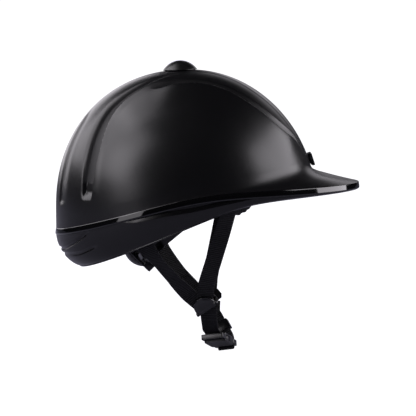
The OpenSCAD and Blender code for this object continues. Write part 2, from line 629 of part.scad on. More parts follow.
module divider_lever(s) {
    barrel_l = 2 * (ear_in - gap);
    color("#1a1a1d")
        in_divider(s) difference() {
            union() {
                intersection() {
                    translate([0, 0, lever_lift]) d_plate(divider_r, -hinge_y, lever_t + 1);
                    translate([0, 1, lever_lift + lever_t - lever_dome_r]) sphere(r = lever_dome_r, $fn = 64);
                }
                on_hinge(barrel_r, barrel_l);
            }
            for (x = [-1, 1])
                translate([x * (barrel_l / 2 + divider_r) - divider_r, hinge_y - barrel_r - 1,
                    lever_lift - 1])
                    cube([2 * divider_r, 2 * barrel_r + 1 + gap, lever_t + 3]);
            on_hinge(hinge_r + 0.05, 4 * divider_r);
        }
}
module divider_lever_left() { divider_lever(1); }
module divider_lever_right() { divider_lever(-1); }
module lever_pin(s) {
    color("silver")
        in_divider(s) on_hinge(hinge_r, 2 * (ear_in + ear_t));
}
module lever_pin_left() { lever_pin(1); }
module lever_pin_right() { lever_pin(-1); }

// The side-release buckle under the chin, in its own frame: +Y towards the wearer's left
buckle_x = 36.5;
buckle_y = -3;
buckle_pitch = -20;
buckle_yaw = -20;
buckle_roll = -10;
socket_w = 24;
socket_l = 27;
socket_h = 8.6;
socket_wall = 1.7;
cavity_w = socket_w - 2 * socket_wall;
cavity_h = socket_h - 2 * socket_wall;
window_l = 11;
window_y = -5;
ladder_l = 11;
ladder_h = 5.2;
slot_l = 3;
tongue_l = 12;
tongue_h = 6;
tongue_root = socket_l / 2 + gap;
guide_w = 4.6;
guide_l = 14;
arm_w = 2.6;
arm_x = 6;
arm_tip_y = -8;
barb_x = socket_w / 2 - 0.3;
barb_l = 7.8;
socket_slot_y = -socket_l / 2 - ladder_l / 2 + 1;
tongue_slot_y = tongue_root + tongue_l / 2 + 1.5;
module in_buckle() {
    translate([buckle_x, buckle_y, -buckle_drop])
        rotate([buckle_pitch, 0, buckle_yaw]) rotate([0, buckle_roll, 0]) children();
}
function in_buckle_frame(v) = let (
    x = v[0] * cos(buckle_roll) + v[2] * sin(buckle_roll),
    z = v[2] * cos(buckle_roll) - v[0] * sin(buckle_roll),
    y = v[1] * cos(buckle_pitch) - z * sin(buckle_pitch))
    [buckle_x + x * cos(buckle_yaw) - y * sin(buckle_yaw),
     buckle_y + x * sin(buckle_yaw) + y * cos(buckle_yaw),
     -buckle_drop + v[1] * sin(buckle_pitch) + z * cos(buckle_pitch)];
buckle_across = in_buckle_frame([1, 0, 0]) - in_buckle_frame([0, 0, 0]);
module slab(w, l, h, r) {
    linear_extrude(h, center = true) union() {
        square([w - 2 * r, l], center = true);
        square([w, l - 2 * r], center = true);
        for (x = [-1, 1], y = [-1, 1]) translate([x * (w / 2 - r), y * (l / 2 - r)]) circle(r = r, $fn = 32);
    }
}
module strap_slot(y) {
    translate([0, y, 0]) cube([web_w + 1, slot_l, 2 * socket_h], center = true);
}
module buckle_socket() {
    color("#17171a")
        in_buckle() difference() {
            union() {
                slab(socket_w, socket_l, socket_h, 2.5);
                translate([0, -socket_l / 2 - ladder_l / 2 + 2, 0]) slab(socket_w, ladder_l, ladder_h, 1.5);
            }
            translate([0, socket_wall, 0]) cube([cavity_w, socket_l, cavity_h], center = true);
            translate([0, window_y, 0]) cube([socket_w + 2, window_l, cavity_h], center = true);
            strap_slot(socket_slot_y);
        }
}
module buckle_tongue() {
    color("#17171a")
        in_buckle() {
            difference() {
                translate([0, tongue_root + tongue_l / 2, 0]) slab(socket_w, tongue_l, tongue_h, 1.5);
                strap_slot(tongue_slot_y);
            }
            translate([-guide_w / 2, tongue_root - guide_l, -cavity_h / 2 + gap])
                cube([guide_w, guide_l + 0.5, cavity_h - 2 * gap]);
        }
}
// A flexible arm with the barb that shows in the socket's side window
module buckle_arm(s) {
    h = cavity_h - 2 * gap;
    color("#1d1d20")
        in_buckle() mirror([s < 0 ? 1 : 0, 0, 0]) translate([0, 0, -h / 2]) linear_extrude(h) {
            translate([arm_x - arm_w / 2, arm_tip_y]) square([arm_w, tongue_root - 0.2 - arm_tip_y]);
            polygon([[arm_x, arm_tip_y], [mix(arm_x, barb_x, 0.5), arm_tip_y], [barb_x, arm_tip_y + 2.5],
                [barb_x, arm_tip_y + barb_l], [arm_x, arm_tip_y + barb_l]]);
        }
}
module buckle_arm_front() { buckle_arm(1); }
module buckle_arm_rear() { buckle_arm(-1); }

// The right chin strap ends in the socket's slot
chin_x = 3.6;
function chin_start(s) = on_divider(s, chin_x, -2, front_layer);
function chin_exit(s) = on_divider(s, chin_x, -divider_r - 3, front_layer);
module chin_strap_right() {
    b = chin_exit(-1);
    e = in_buckle_frame([0, socket_slot_y - 7.5, 6]);
    webbing([chin_start(-1), b, mix(b, e, 0.5) + [0, -1, -0.5], e, in_buckle_frame([0, socket_slot_y - 3, 5]),
        in_buckle_frame([0, socket_slot_y - 0.6, 3.1]), in_buckle_frame([0, socket_slot_y, -0.6])],
        [[1, 0, 0], [1, 0, 0], buckle_across, buckle_across, buckle_across, buckle_across, buckle_across]);
}
// The left one passes the keeper, turns round the tongue's bar, and its tail comes back up the keeper
tail_step = web_t + 0.6;
chin_from = chin_exit(1);
chin_to = in_buckle_frame([0, tongue_slot_y + 6.2, 7]);
chin_dir = unit(chin_to - chin_from);
chin_across = unit(buckle_across - chin_dir * (buckle_across * chin_dir));
chin_inner = cross(chin_dir, chin_across) * tail_step;
function beside_chin(t) = mix(chin_from, chin_to, t);
module chin_strap_left() {
    y = tongue_slot_y;
    w = buckle_across;
    c = chin_across;
    round_bar = [[7, 1.5], [6.2, -3.2], [3.6, -5.4], [1.2, -4.6], [0, -1.6], [0.3, 3]];
    down = [for (t = [0, 0.25, 0.5, 0.75]) beside_chin(t)];
    back = [for (t = [0.8, 0.6, 0.4]) beside_chin(t) + chin_inner];
    turn = [for (v = round_bar) in_buckle_frame([0, y + v[0], v[1]])];
    webbing(concat([chin_start(1)], down, [chin_to], turn, [beside_chin(0.95) + chin_inner * 1.3], back),
        [[1, 0, 0], [1, 0, 0], c, c, c, w, w, w, w, w, w, w, w, c, c, c], 3);
}
// The keeper that holds the loose tail against the left chin strap
keeper_wall = 1.6;
keeper_l = 11;
keeper_at = 0.62;
module strap_keeper() {
    y = cross(-chin_dir, chin_across);
    inner_t = web_t + tail_step + 0.8;
    color("#141416")
        translate(beside_chin(keeper_at) + chin_inner / 2)
            rotate([atan2(y[2], -chin_dir[2]), -asin(chin_across[2]), atan2(chin_across[1], chin_across[0])])
                difference() {
                    cube([web_w + 1 + 2 * keeper_wall, inner_t + 2 * keeper_wall, keeper_l], center = true);
                    cube([web_w + 1, inner_t, 2 * keeper_l], center = true);
                }
}

// The fitting dial behind the head, in its own frame: +Z out of the dial, +X down and forward
dial_x = -51.5;
dial_z = -52.5;
dial_tilt = 225;
dial_edge = 1.4;
dial_cap = dial_t - dial_edge;
dial_dome_r = (dial_r * dial_r + dial_cap * dial_cap) / (2 * dial_cap);
dial_rim = 1.4;
housing_l = 22;
housing_back = 19;
housing_w = 46;
housing_t = 9;
housing_wall = 1.8;
cradle_t = 2.4;
screw_r = 1.2;
hub_r = 3;
function dial_frame(x, y, z) = [dial_x - x * cos(dial_tilt) + z * sin(dial_tilt), y,
    dial_z + x * sin(dial_tilt) + z * cos(dial_tilt)];
module in_dial() {
    translate([dial_x, 0, dial_z]) rotate([0, dial_tilt, 0]) mirror([1, 0, 0]) children();
}
module dial_knob() {
    grips = 18;
    grip_r = 1.1;
    color("#18181b")
        in_dial() difference() {
            intersection() {
                translate([0, 0, gap]) cylinder(r = dial_r, h = dial_t, $fn = 72);
                translate([0, 0, dial_t + gap - dial_dome_r]) sphere(r = dial_dome_r, $fn = 72);
            }
            for (i = [0:grips - 1])
                rotate([0, 0, i * 360 / grips]) translate([dial_r + grip_r / 3, 0, gap - 1])
                    cylinder(r = grip_r, h = dial_t + 2, $fn = 24);
            translate([0, 0, -1]) cylinder(r = hub_r, h = dial_t - 2 * dial_rim + 1 + gap, $fn = 48);
            cylinder(r = screw_r + 0.3, h = 2 * dial_t, $fn = 32);
            translate([0, 0, dial_t - dial_rim]) cylinder(r = hub_r + 0.2, h = dial_t, $fn = 32);
        }
}
// The pinion and its hub, which the knob drives
tooth_pitch = 2 * PI * pinion_r / pinion_teeth;
tooth_w = tooth_pitch * 0.36;
tooth_h = 1.2;
pinion_h = housing_t - 2 * housing_wall - 0.6;
module dial_pinion() {
    color("gainsboro")
        in_dial() difference() {
            union() {
                translate([0, 0, -housing_t / 2 - pinion_h / 2]) {
                    cylinder(r = pinion_r - tooth_h / 2, h = pinion_h, $fn = 48);
                    for (i = [0:pinion_teeth - 1])
                        rotate([0, 0, i * 360 / pinion_teeth])
                            translate([pinion_r - tooth_h, -tooth_w / 2, 0])
                                cube([tooth_h + 0.6, tooth_w, pinion_h]);
                }
                translate([0, 0, -housing_wall - 0.5])
                    cylinder(r = hub_r - 0.05, h = housing_wall + 0.5 + dial_t - 2 * dial_rim, $fn = 48);
            }
            translate([0, 0, -housing_t]) cylinder(r = screw_r + 0.05, h = 3 * dial_t, $fn = 32);
        }
}
module dial_screw() {
    color("silver")
        in_dial() {
            translate([0, 0, -housing_t / 2])
                cylinder(r = screw_r, h = housing_t / 2 + dial_t - dial_rim, $fn = 32);
            translate([0, 0, dial_t - dial_rim]) cylinder(r = hub_r - 0.2, h = dial_rim, $fn = 32);
        }
}
band_w = 6;
band_t = 1.2;
rack_x = pinion_r + 0.9;
module dial_housing() {
    slot_t = housing_t - 2 * housing_wall;
    color("#141416")
        in_dial() translate([0, 0, -housing_t / 2]) difference() {
            translate([(housing_l - housing_back) / 2, 0, 0])
                slab(housing_l + housing_back, housing_w, housing_t, 4);
            cube([2 * (rack_x + band_w + 1), housing_w + 2, slot_t], center = true);
            cylinder(r = hub_r + 0.05, h = housing_t, $fn = 48);
        }
}

// The cradle that holds the back of the head, its pad, and the bands that draw it in
cavity_half_w = dome_w / 2 - liner_in - foam_side;
wing_x = [-20, -34, -41, -43.5];
wing_y = [0.9, 0.8, 0.616, 0.4];
wing_drop = [41.4, 48.4, 53.4, 56.9];
cradle_centre = dial_frame(3, 0, -housing_t - 0.2 - cradle_t / 2);
flat_half = housing_w / 2 + 3;
function wing(s) = [for (i = [0:3]) [wing_x[i], s * wing_y[i] * cavity_half_w, rim_bend_z - wing_drop[i]]];
function turned(list) = [for (i = [len(list) - 1:-1:0]) list[i]];
cradle_knots = concat(wing(1), [for (y = [1, 0.5, 0, -0.5, -1]) cradle_centre + [0, y * flat_half, 0]],
    turned(wing(-1)));
wing_faces = [[-0.25, 0, 1], [-0.35, 0, 1], [-0.5, 0, 1], [-0.8, 0, 1]];
cradle_faces = concat(wing_faces, [for (i = [0:4]) [-1, 0, 1]], turned(wing_faces));
cradle_widths = [15, 18, 22, 28, 33, 37, 38, 37, 33, 28, 22, 18, 15];
cradle_steps = 3;
module cradle() {
    path = smooth(cradle_knots, cradle_steps);
    color("#18181b")
        ribbon(path, shared(cradle_faces, cradle_steps), smooth_widths(cradle_widths), cradle_t);
}
function smooth_widths(w) = [for (v = smooth([for (i = [0:len(w) - 1]) [i, w[i], 0]], cradle_steps)) v[1]];
module cradle_pad() {
    path = smooth(cradle_knots, cradle_steps);
    dirs = shared(cradle_faces, cradle_steps);
    widths = smooth_widths(cradle_widths);
    first = 2 * cradle_steps;
    last = len(path) - 1 - first;
    color("#232326")
        swept_solid([for (i = [first:last]) let (
            d = unit(path[i + 1] - path[i - 1]),
            w = unit(dirs[i] - d * (dirs[i] * d)),
            m = cross(w, d),
            s = (i - first) / (last - first),
            end = pow(sin(180 * mix(0.08, 0.92, s)), 0.4),
            t = (pad_t - 1) * end * pinch(s, 4),
            h = widths[i] * 0.4 * mix(0.7, 1, end))
            [for (q = pad_profile)
                path[i] - w * (q[0] - 0.5) * 2 * h + m * (cradle_t / 2 + 2 * pad_gap + t * q[1])]]);
}
// Each band runs from its pin on the liner, behind the wing, to the rack beside the pinion
band_pin_a = brow_pad_span + 5;
band_wall_a = band_pin_a + 14;
band_pin_r = 2;
band_pin_l = 5;
band_head_r = 3.5;
function band_start(s) = cavity_at(s * band_pin_a, liner_floor(band_pin_a) + 5, 2.2);
// A point outside the cradle at one of its knots: out from it, and up across it
function behind_wing(s, i, out, up) = let (
    k = s > 0 ? i : len(cradle_knots) - 1 - i,
    d = unit(cradle_knots[min(k + 1, len(cradle_knots) - 1)] - cradle_knots[max(k - 1, 0)]),
    w = unit(cradle_faces[k] - d * (cradle_faces[k] * d)))
    cradle_knots[k] + cross(d, w) * out + w * up;
// The left band's rack is on the upper side of the pinion, the right one's on the lower side
function rack_at(s, y) = dial_frame(-s * (rack_x + band_w / 2), y, -housing_t / 2);
module band(s) {
    start = band_start(s);
    rise = s > 0 ? [1, 3, 7, 10] : [-2, -3, -4, -5];
    wall = cavity_at(s * band_wall_a, liner_floor(band_wall_a) - 3, 2.6);
    out = [3, 3.4, 4.4, 5.2];
    behind = [for (i = [0:3]) behind_wing(s, i, out[i], rise[i])];
    points = concat([start, wall], behind,
        [for (y = [housing_w / 2 + 3, housing_w / 2 - 6, -9]) rack_at(s, s * y)]);
    faces = [[-0.2, 0, 1], [-0.2, 0, 1], [-0.25, 0, 1], [-0.35, 0, 1], [-0.5, 0, 1], [-0.8, 0, 1], [-1, 0, 1],
        [-1, 0, 1], [-1, 0, 1]];
    path = smooth(points, 3);
    color("#202023") {
        difference() {
            ribbon(path, shared(faces, 3), [for (p = path) band_w], band_t);
            translate(start) rotate([90, 0, 0])
                cylinder(r = band_pin_r + 0.1, h = 4 * band_t, center = true, $fn = 24);
        }
        in_dial()
            for (i = [-3:2])
                translate([-s * (rack_x - 0.4) - 1, (i + 0.5) * tooth_pitch - tooth_w / 2,
                    -housing_t / 2 - band_t / 2])
                    cube([2, tooth_w, band_t]);
    }
}
module band_left() { band(1); }
module band_right() { band(-1); }
module band_pins() {
    color("silver")
        for (s = [-1, 1])
            translate(band_start(s)) rotate([s * 90, 0, 0]) {
                translate([0, 0, -band_t / 2 - band_pin_l])
                    cylinder(r = band_pin_r, h = band_t + band_pin_l + 0.4, $fn = 32);
                translate([0, 0, band_t / 2 + 0.2]) cylinder(r = band_head_r, h = 1.2, $fn = 32);
            }
}

outer_shell();
edge_trim();
lower_shell();
eps_liner();
crown_button();
button_stud();
front_badge();
brow_pad();
crown_pad();
side_pad_left();
side_pad_right();
front_anchor_left();
front_anchor_right();
rear_anchor_left();
rear_anchor_right();
front_strap_left();
front_strap_right();
rear_strap_left();
rear_strap_right();
divider_base_left();
divider_base_right();
divider_lever_left();
divider_lever_right();
lever_pin_left();
lever_pin_right();
chin_strap_left();
chin_strap_right();
strap_keeper();
buckle_socket();
buckle_tongue();
buckle_arm_front();
buckle_arm_rear();
cradle();
cradle_pad();
dial_housing();
dial_knob();
dial_pinion();
dial_screw();
band_left();
band_right();
band_pins();
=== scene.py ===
"""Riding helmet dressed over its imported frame. Metres, +X to the peak, +Y to the wearer's left, +Z up."""
import math

import bmesh
import bpy
from mathutils import Matrix, Vector


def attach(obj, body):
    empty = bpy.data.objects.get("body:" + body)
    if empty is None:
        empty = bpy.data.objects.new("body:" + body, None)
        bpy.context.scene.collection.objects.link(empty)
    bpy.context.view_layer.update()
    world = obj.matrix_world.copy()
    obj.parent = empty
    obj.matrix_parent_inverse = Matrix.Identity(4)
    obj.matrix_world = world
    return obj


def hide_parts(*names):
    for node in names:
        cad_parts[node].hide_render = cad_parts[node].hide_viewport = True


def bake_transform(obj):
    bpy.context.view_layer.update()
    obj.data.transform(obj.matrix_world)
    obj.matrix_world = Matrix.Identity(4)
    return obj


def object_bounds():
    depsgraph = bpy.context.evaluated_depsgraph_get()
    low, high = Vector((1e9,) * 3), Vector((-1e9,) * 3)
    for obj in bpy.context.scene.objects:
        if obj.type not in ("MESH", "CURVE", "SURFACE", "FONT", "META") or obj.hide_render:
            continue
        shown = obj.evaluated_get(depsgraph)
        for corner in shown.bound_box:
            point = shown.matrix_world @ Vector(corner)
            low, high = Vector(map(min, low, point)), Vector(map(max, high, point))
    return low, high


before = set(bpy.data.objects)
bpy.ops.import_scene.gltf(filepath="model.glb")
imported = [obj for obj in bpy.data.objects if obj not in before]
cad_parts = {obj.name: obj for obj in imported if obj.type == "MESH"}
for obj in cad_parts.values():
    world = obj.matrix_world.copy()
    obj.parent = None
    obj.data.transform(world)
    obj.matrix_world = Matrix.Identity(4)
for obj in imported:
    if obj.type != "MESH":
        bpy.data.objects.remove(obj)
frame_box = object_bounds()
scene = bpy.context.scene
scene.view_settings.view_transform = "Standard"
MM = 0.001

# Camera: a little above the brow's level, looking at the wearer's right side
CAMERA_AIM = Vector((0.0252, 0, -0.00315))
CAMERA_DISTANCE = 1.9
CAMERA_RISE = math.radians(6)
VIEW_HALF_WIDTH = 0.2184
camera = bpy.data.objects.new("camera", bpy.data.cameras.new("camera"))
scene.collection.objects.link(camera)
scene.camera = camera
camera.data.sensor_width = 36
camera.data.lens = 18 / (VIEW_HALF_WIDTH / CAMERA_DISTANCE)
camera.location = CAMERA_AIM + CAMERA_DISTANCE * Vector((0, -math.cos(CAMERA_RISE), math.sin(CAMERA_RISE)))
camera.rotation_euler = (CAMERA_AIM - camera.location).to_track_quat("-Z", "Y").to_euler()
camera.data.clip_end = 50


# Plain helpers, in millimetres and degrees
def ease(t):
    u = min(1.0, max(0.0, t))
    return u * u * (3 - 2 * u)


def fade(x, start, end):
    return ease((x - start) / (end - start))


def clamped(t):
    return min(1.0, max(0.0, t))


def hump(v, rise, top, level, fall):
    return fade(v, rise, top) * (1 - fade(v, level, fall))


def signed_pow(v, p):
    return math.copysign(abs(v) ** p, v)


def cosd(a):
    return math.cos(math.radians(a))


def sind(a):
    return math.sin(math.radians(a))


def mix(a, b, t):
    return a + (b - a) * t


def bezier(a, b, c, t):
    return a * (1 - t) ** 2 + b * (2 * t * (1 - t)) + c * t * t


def hermite(a, b, m0, m1, t):
    return (a * (2 * t ** 3 - 3 * t * t + 1) + m0 * (t ** 3 - 2 * t * t + t)
            + b * (3 * t * t - 2 * t ** 3) + m1 * (t ** 3 - t * t))


def along(knots, x):
    """A smooth curve through knots (x, value), level beyond its ends."""
    if x <= knots[0][0]:
        return knots[0][1]
    if x >= knots[-1][0]:
        return knots[-1][1]
    i = max(k for k in range(len(knots) - 1) if knots[k][0] <= x)

    def slope(k):
        a, b = knots[max(0, k - 1)], knots[min(len(knots) - 1, k + 1)]
        return (b[1] - a[1]) / (b[0] - a[0])
    h = knots[i + 1][0] - knots[i][0]
    return hermite(knots[i][1], knots[i + 1][1], slope(i) * h, slope(i + 1) * h, (x - knots[i][0]) / h)


def smooth_path(points, steps):
    """A smooth path through points, with steps spans between each two."""
    last = len(points) - 1

    def slope(i):
        a, b = max(0, i - 1), min(last, i + 1)
        return (points[b] - points[a]) / ((points[i] - points[a]).length + (points[b] - points[i]).length)
    path = []
    for i in range(last):
        h = (points[i + 1] - points[i]).length
        path += [hermite(points[i], points[i + 1], slope(i) * h, slope(i + 1) * h, j / steps)
                 for j in range(steps)]
    return path + [points[-1]]


def run_along(path):
    """The distance from a path's start to each of its points."""
    run = [0.0]
    for a, b in zip(path, path[1:]):
        run.append(run[-1] + (b - a).length)
    return run


def shared(values, steps):
    """Values shared out evenly between knots, steps to a span."""
    out = []
    for a, b in zip(values, values[1:]):
        out += [mix(a, b, j / steps) for j in range(steps)]
    return out + [values[-1]]


# The helmet's driving sizes
DOME_FRONT, DOME_REAR, DOME_W, DOME_TOP = 139, 134, 224, 142
CROWN_X, EQUATOR = 5, -2
PLAN_POWER, REAR_POWER, FRONT_POWER = 2.15, 2.15, 2
SHELL_WALL, GAP, REBATE = 3.6, 0.4, 1.6
INNER_SHARE = 0.39  # how much of the channels shows inside the shell
PEAK_TIP, PEAK_ROUND, PEAK_FILLET, FILLET_SHARE = 183, 0.56, 10, 0.4
PEAK_SLOPE, PEAK_SIDE_SLOPE, PEAK_SIDE_A = 0.16, 0.15, 32
TRIM_H = 7
SEAM_FRONT, SEAM_SLOPE, SEAM_BEND_X, SEAM_BEND = 26.5, 0.31, 20, 45
RIM_BEND_Z, RIM_SLOPE_REAR, RIM_SLOPE_FRONT, RIM_BEND_X, RIM_BEND = 12.4, 0.44, 0.05, 60, 25
SIDE_ROLL, REAR_ROLL, FRONT_ROLL = 6, 20, 12
FOAM_END, FOAM_SIDE, FOAM_TOP = 28, 22, 28
LINER_IN = REBATE + SHELL_WALL + GAP
CAVITY_TOP = DOME_TOP - LINER_IN - FOAM_TOP
CHANNEL_DEPTH, PANEL_LIP, GROOVE_LIP, SPINE_BEAD, TONGUE_DEPTH = 4.6, 1.9, 0.3, 0.35, 1.4
# The channels' plan: distance of their inner edge from the middle, their width, depth and roll, by x
CHANNEL_EDGE = [(-102, 78.3), (-95, 69.2), (-87, 59.6), (-76, 50.8), (-63, 45.9), (-40, 38.6), (-8, 24),
                (20, 18.2), (46, 21), (76, 28), (120, 30)]
CHANNEL_WIDTH = [(-40, 8), (-24, 19), (5, 29), (30, 32), (76, 27), (100, 21), (120, 1)]
FRONT_RUN, FRONT_SLOPE, FLOOR_POWER = (-34, -4, 106, 121), 7.5, 1.3
GROOVE_WIDTH = [(-93, 9.7), (-86, 13.8), (-80, 13.3), (-72, 10.8), (-62, 8.2), (-40, 4.6), (-30, 3.9)]
GROOVE_ROLL, ROLL_POWER = [(-70, 10), (-30, 6), (-10, 4)], 3.4
GROOVE_DEPTH = [(-66, 1), (-36, 0.6), (-24, 0.4), (0, 0)]
GROOVE_RAMP = [(-78, 0.4), (-73, 0)]
WEB_W, WEB_T, RIB, RIB_RISE = 17, 1.6, 2.2, 0.13
POCKET_Z, POCKET_RISE, POCKET_POWER = 21, 8, 1.15
LIP_RISE, PANEL_LIP_RUN, GROOVE_LIP_RUN, BOTTOM_BLEND = 1.5, 26, 10, 0.14
TONGUE_EDGE = [(5, 38), (30, 36), (50, 32.8), (71, 27.4), (92, 18.7), (110, 4)]


def seam_z(x):
    u = x - SEAM_BEND_X
    return SEAM_FRONT + SEAM_SLOPE / 2 * (u - math.sqrt(u * u + SEAM_BEND ** 2))


def rim_z(x):
    u = x - RIM_BEND_X
    return (RIM_BEND_Z + (RIM_SLOPE_REAR + RIM_SLOPE_FRONT) / 2 * u
            - (RIM_SLOPE_REAR - RIM_SLOPE_FRONT) / 2 * math.sqrt(u * u + RIM_BEND ** 2))


def reach(a):
    return DOME_FRONT - CROWN_X if cosd(a) >= 0 else DOME_REAR + CROWN_X


def dome_power(a):
    return mix(FRONT_POWER, REAR_POWER, abs(sind(a))) if cosd(a) >= 0 else REAR_POWER


def plan_pt(a, d):
    return Vector((CROWN_X + (reach(a) - d) * signed_pow(cosd(a), 2 / PLAN_POWER),
                   (DOME_W / 2 - d) * signed_pow(sind(a), 2 / PLAN_POWER)))


def skin_pt(a, t, d):
    p = plan_pt(a, d)
    f = 1 if t > 90 else max(0.0, sind(t)) ** (2 / dome_power(a))
    z = EQUATOR - (t - 90) if t > 90 else EQUATOR + (DOME_TOP - EQUATOR - d) * cosd(t) ** (2 / dome_power(a))
    return Vector((CROWN_X + (p.x - CROWN_X) * f, p.y * f, z))


def edge_pt(a):
    if cosd(a) < 0:
        return plan_pt(a, 0)
    return Vector((CROWN_X + (PEAK_TIP - CROWN_X) * cosd(a),
                   DOME_W / 2 * signed_pow(sind(a), 2 * PEAK_ROUND)))


def edge_out(a):
    v = edge_pt(a + 1) - edge_pt(a - 1)
    return Vector((v.y, -v.x)).normalized()


def edge_z(a):
    return seam_z(edge_pt(a).x)


def on_edge(a, d, z):
    p = edge_pt(a) - edge_out(a) * d
    return Vector((p.x, p.y, z))


def halved(low, high, beyond):
    """The point between low and high at which beyond stops being true, found by halving."""
    for _ in range(24):
        middle = (low + high) / 2
        low, high = (middle, high) if beyond(middle) else (low, middle)
    return (low + high) / 2


def foot_angle(a):
    e = edge_pt(a)
    slope = PEAK_SLOPE + PEAK_SIDE_SLOPE * fade(min(a % 360, -a % 360), 0, PEAK_SIDE_A)

    def above(t):
        p = skin_pt(a, t, 0)
        return p.z - edge_z(a) - slope * math.hypot(p.x - e.x, p.y - e.y) > 0
    return halved(20, 140, above)


def height_angle(a, z, d):
    return halved(20, 160, lambda t: skin_pt(a, t, d).z > z)


def roll(a):
    return SIDE_ROLL + (REAR_ROLL if cosd(a) < 0 else FRONT_ROLL) * cosd(a) ** 2


def tuck(v):
    return 1 - max(0.0, 1 - v ** 1.7) ** (1 / 1.7)


def rim_height(a):
    return rim_z(plan_pt(a, roll(a)).x)


def low_pt(a, v, d):
    e = edge_pt(a) - edge_out(a) * d
    p = e.lerp(plan_pt(a, roll(a)), tuck(v))
    return Vector((p.x, p.y, mix(edge_z(a) - TRIM_H, rim_height(a) + d, v)))


def across(x, y):
    s = (along(CHANNEL_EDGE, x + 2) - along(CHANNEL_EDGE, x - 2)) / 4
    return (abs(y) - along(CHANNEL_EDGE, x)) / math.sqrt(1 + s * s)


def beside_tongue(p):
    """The shell is sunk a little on both sides of the raised rear tongue."""
    if p.x > -70:
        return 0
    d = abs(p.y) - along(TONGUE_EDGE, p.z)
    return TONGUE_DEPTH * hump(d, -1.5, 1.5, 1.5, 18) * hump(p.z, 4, 10, 88, 106)


def lesser(a, b, blend):
    """The lesser of two values, rounded where they meet."""
    return (a + b - math.sqrt((a - b) ** 2 + blend * blend)) / 2


def hollow(p):
    """How deep p lies in a channel, where dust gathers."""
    return clamped(relief(p) / CHANNEL_DEPTH) if p.z > 30 else 0.0


def relief(p):
    """How far the outer skin is sunk at p by the swept channels, or raised by their lips."""
    c, w, g = across(p.x, p.y), along(CHANNEL_WIDTH, p.x), along(GROOVE_WIDTH, p.x)
    front = hump(p.x, *FRONT_RUN)
    groove = along(GROOVE_DEPTH, p.x) * clamped((p.z - POCKET_Z) / POCKET_RISE + 1) ** POCKET_POWER
    rolled = clamped(c / along(GROOVE_ROLL, p.x) + 1) ** ROLL_POWER
    ramp = (1 - along(GROOVE_RAMP, p.x) * clamped(c / g)) * (1 - fade(c, g, g + LIP_RISE))
    front_floor = clamped((c - w) / min(FRONT_SLOPE, w) + 1) ** FLOOR_POWER
    front_floor *= 1 - fade(c, w - 0.3, w + LIP_RISE)
    lip = max(front * hump(c, w, w + LIP_RISE, w + LIP_RISE, w + PANEL_LIP_RUN),
              GROOVE_LIP * groove * hump(c, g, g + LIP_RISE, g + LIP_RISE, g + GROOVE_LIP_RUN))
    deepest = max(groove * lesser(rolled, ramp, BOTTOM_BLEND), front * front_floor)
    return (CHANNEL_DEPTH * deepest + beside_tongue(p) - PANEL_LIP * lip
            - SPINE_BEAD * front * hump(c, -4, -0.5, -0.5, 2.5))


def carved(p, a, share):
    n = Vector(((p.x - CROWN_X) / reach(a) ** 2, p.y / (DOME_W / 2) ** 2,
                max(0, p.z - EQUATOR) / (DOME_TOP - EQUATOR) ** 2)).normalized()
    return p - n * relief(p) * share


# Finishes
class Wire:
    """An output in a finish's node tree. Arithmetic on it adds Math nodes."""

    def __init__(self, finish, socket):
        self.finish, self.socket = finish, socket

    def __add__(self, other):
        return self.finish.reckon("ADD", self, other)

    def __sub__(self, other):
        return self.finish.reckon("SUBTRACT", self, other)

    def __rsub__(self, other):
        return self.finish.reckon("SUBTRACT", other, self)

    def __mul__(self, other):
        return self.finish.reckon("MULTIPLY", self, other)

    __radd__ = __add__
    __rmul__ = __mul__


class Finish:
    """A procedural material for one of the helmet's surfaces."""

    def __init__(self, name, **fixed):
        self.material = bpy.data.materials.new(name)
        self.material.use_nodes = True
        self.tree = self.material.node_tree
        self.tree.nodes.clear()
        self.shader = self.tree.nodes.new("ShaderNodeBsdfPrincipled")
        self.output = self.tree.nodes.new("ShaderNodeOutputMaterial")
        self.tree.links.new(self.shader.outputs[0], self.output.inputs[0])
        self.feed(self.shader, {key.replace("_", " "): value for key, value in fixed.items()})
        self.place = self.node("ShaderNodeTexCoord", output="Object")

    def feed(self, node, sockets):
        for key, value in sockets.items():
            if isinstance(value, Wire):
                self.tree.links.new(value.socket, node.inputs[key])
            else:
                node.inputs[key].default_value = value

    def node(self, kind, settings=None, sockets=None, output=0):
        node = self.tree.nodes.new(kind)
        for key, value in (settings or {}).items():
            if key == "stops":
                ramp = node.color_ramp.elements
                while len(ramp) < len(value):
                    ramp.new(0.5)
                for stop, (at, level) in zip(ramp, value):
                    stop.position, stop.color = at, (level, level, level, 1)
            else:
                setattr(node, key, value)
        self.feed(node, sockets or {})
        return Wire(self, node.outputs[output])

    def reckon(self, operation, *values):
        return self.node("ShaderNodeMath", {"operation": operation}, dict(enumerate(values)))

    def stretched(self, scale, turn=(0, 0, 0)):
        return self.node("ShaderNodeMapping", None, {"Vector": self.place, "Scale": scale, "Rotation": turn})

    def clouds(self, scale, detail=2.0, vector=None):
        return self.node("ShaderNodeTexNoise", None,
                         {"Vector": vector or self.place, "Scale": scale, "Detail": detail})

    def step(self, value, low, high, to=1.0):
        return self.node("ShaderNodeMapRange", {"interpolation_type": "SMOOTHSTEP"},
                         {"Value": value, "From Min": low, "From Max": high, "To Max": to})

    def tint(self, share, first, second):
        colours = {0: share, 6: (*first, 1), 7: (*second, 1)}
        return self.node("ShaderNodeMix", {"data_type": "RGBA"}, colours, output=2)

    def bump(self, height, depth, under=None):
        sockets = {"Height": height, "Distance": depth, "Strength": 1.0}
        if under is not None:
            sockets["Normal"] = under
        return self.node("ShaderNodeBump", None, sockets)

    def mark(self, name):
        """The point attribute called name, such as the edge mark: wear on eased edges, and on the lower
        shell's rim also a painted highlight.
        """
        return self.node("ShaderNodeAttribute", {"attribute_name": name}, output="Fac")

    def paint(self, **sockets):
        self.feed(self.shader, {key.replace("_", " "): value for key, value in sockets.items()})
        return self.material


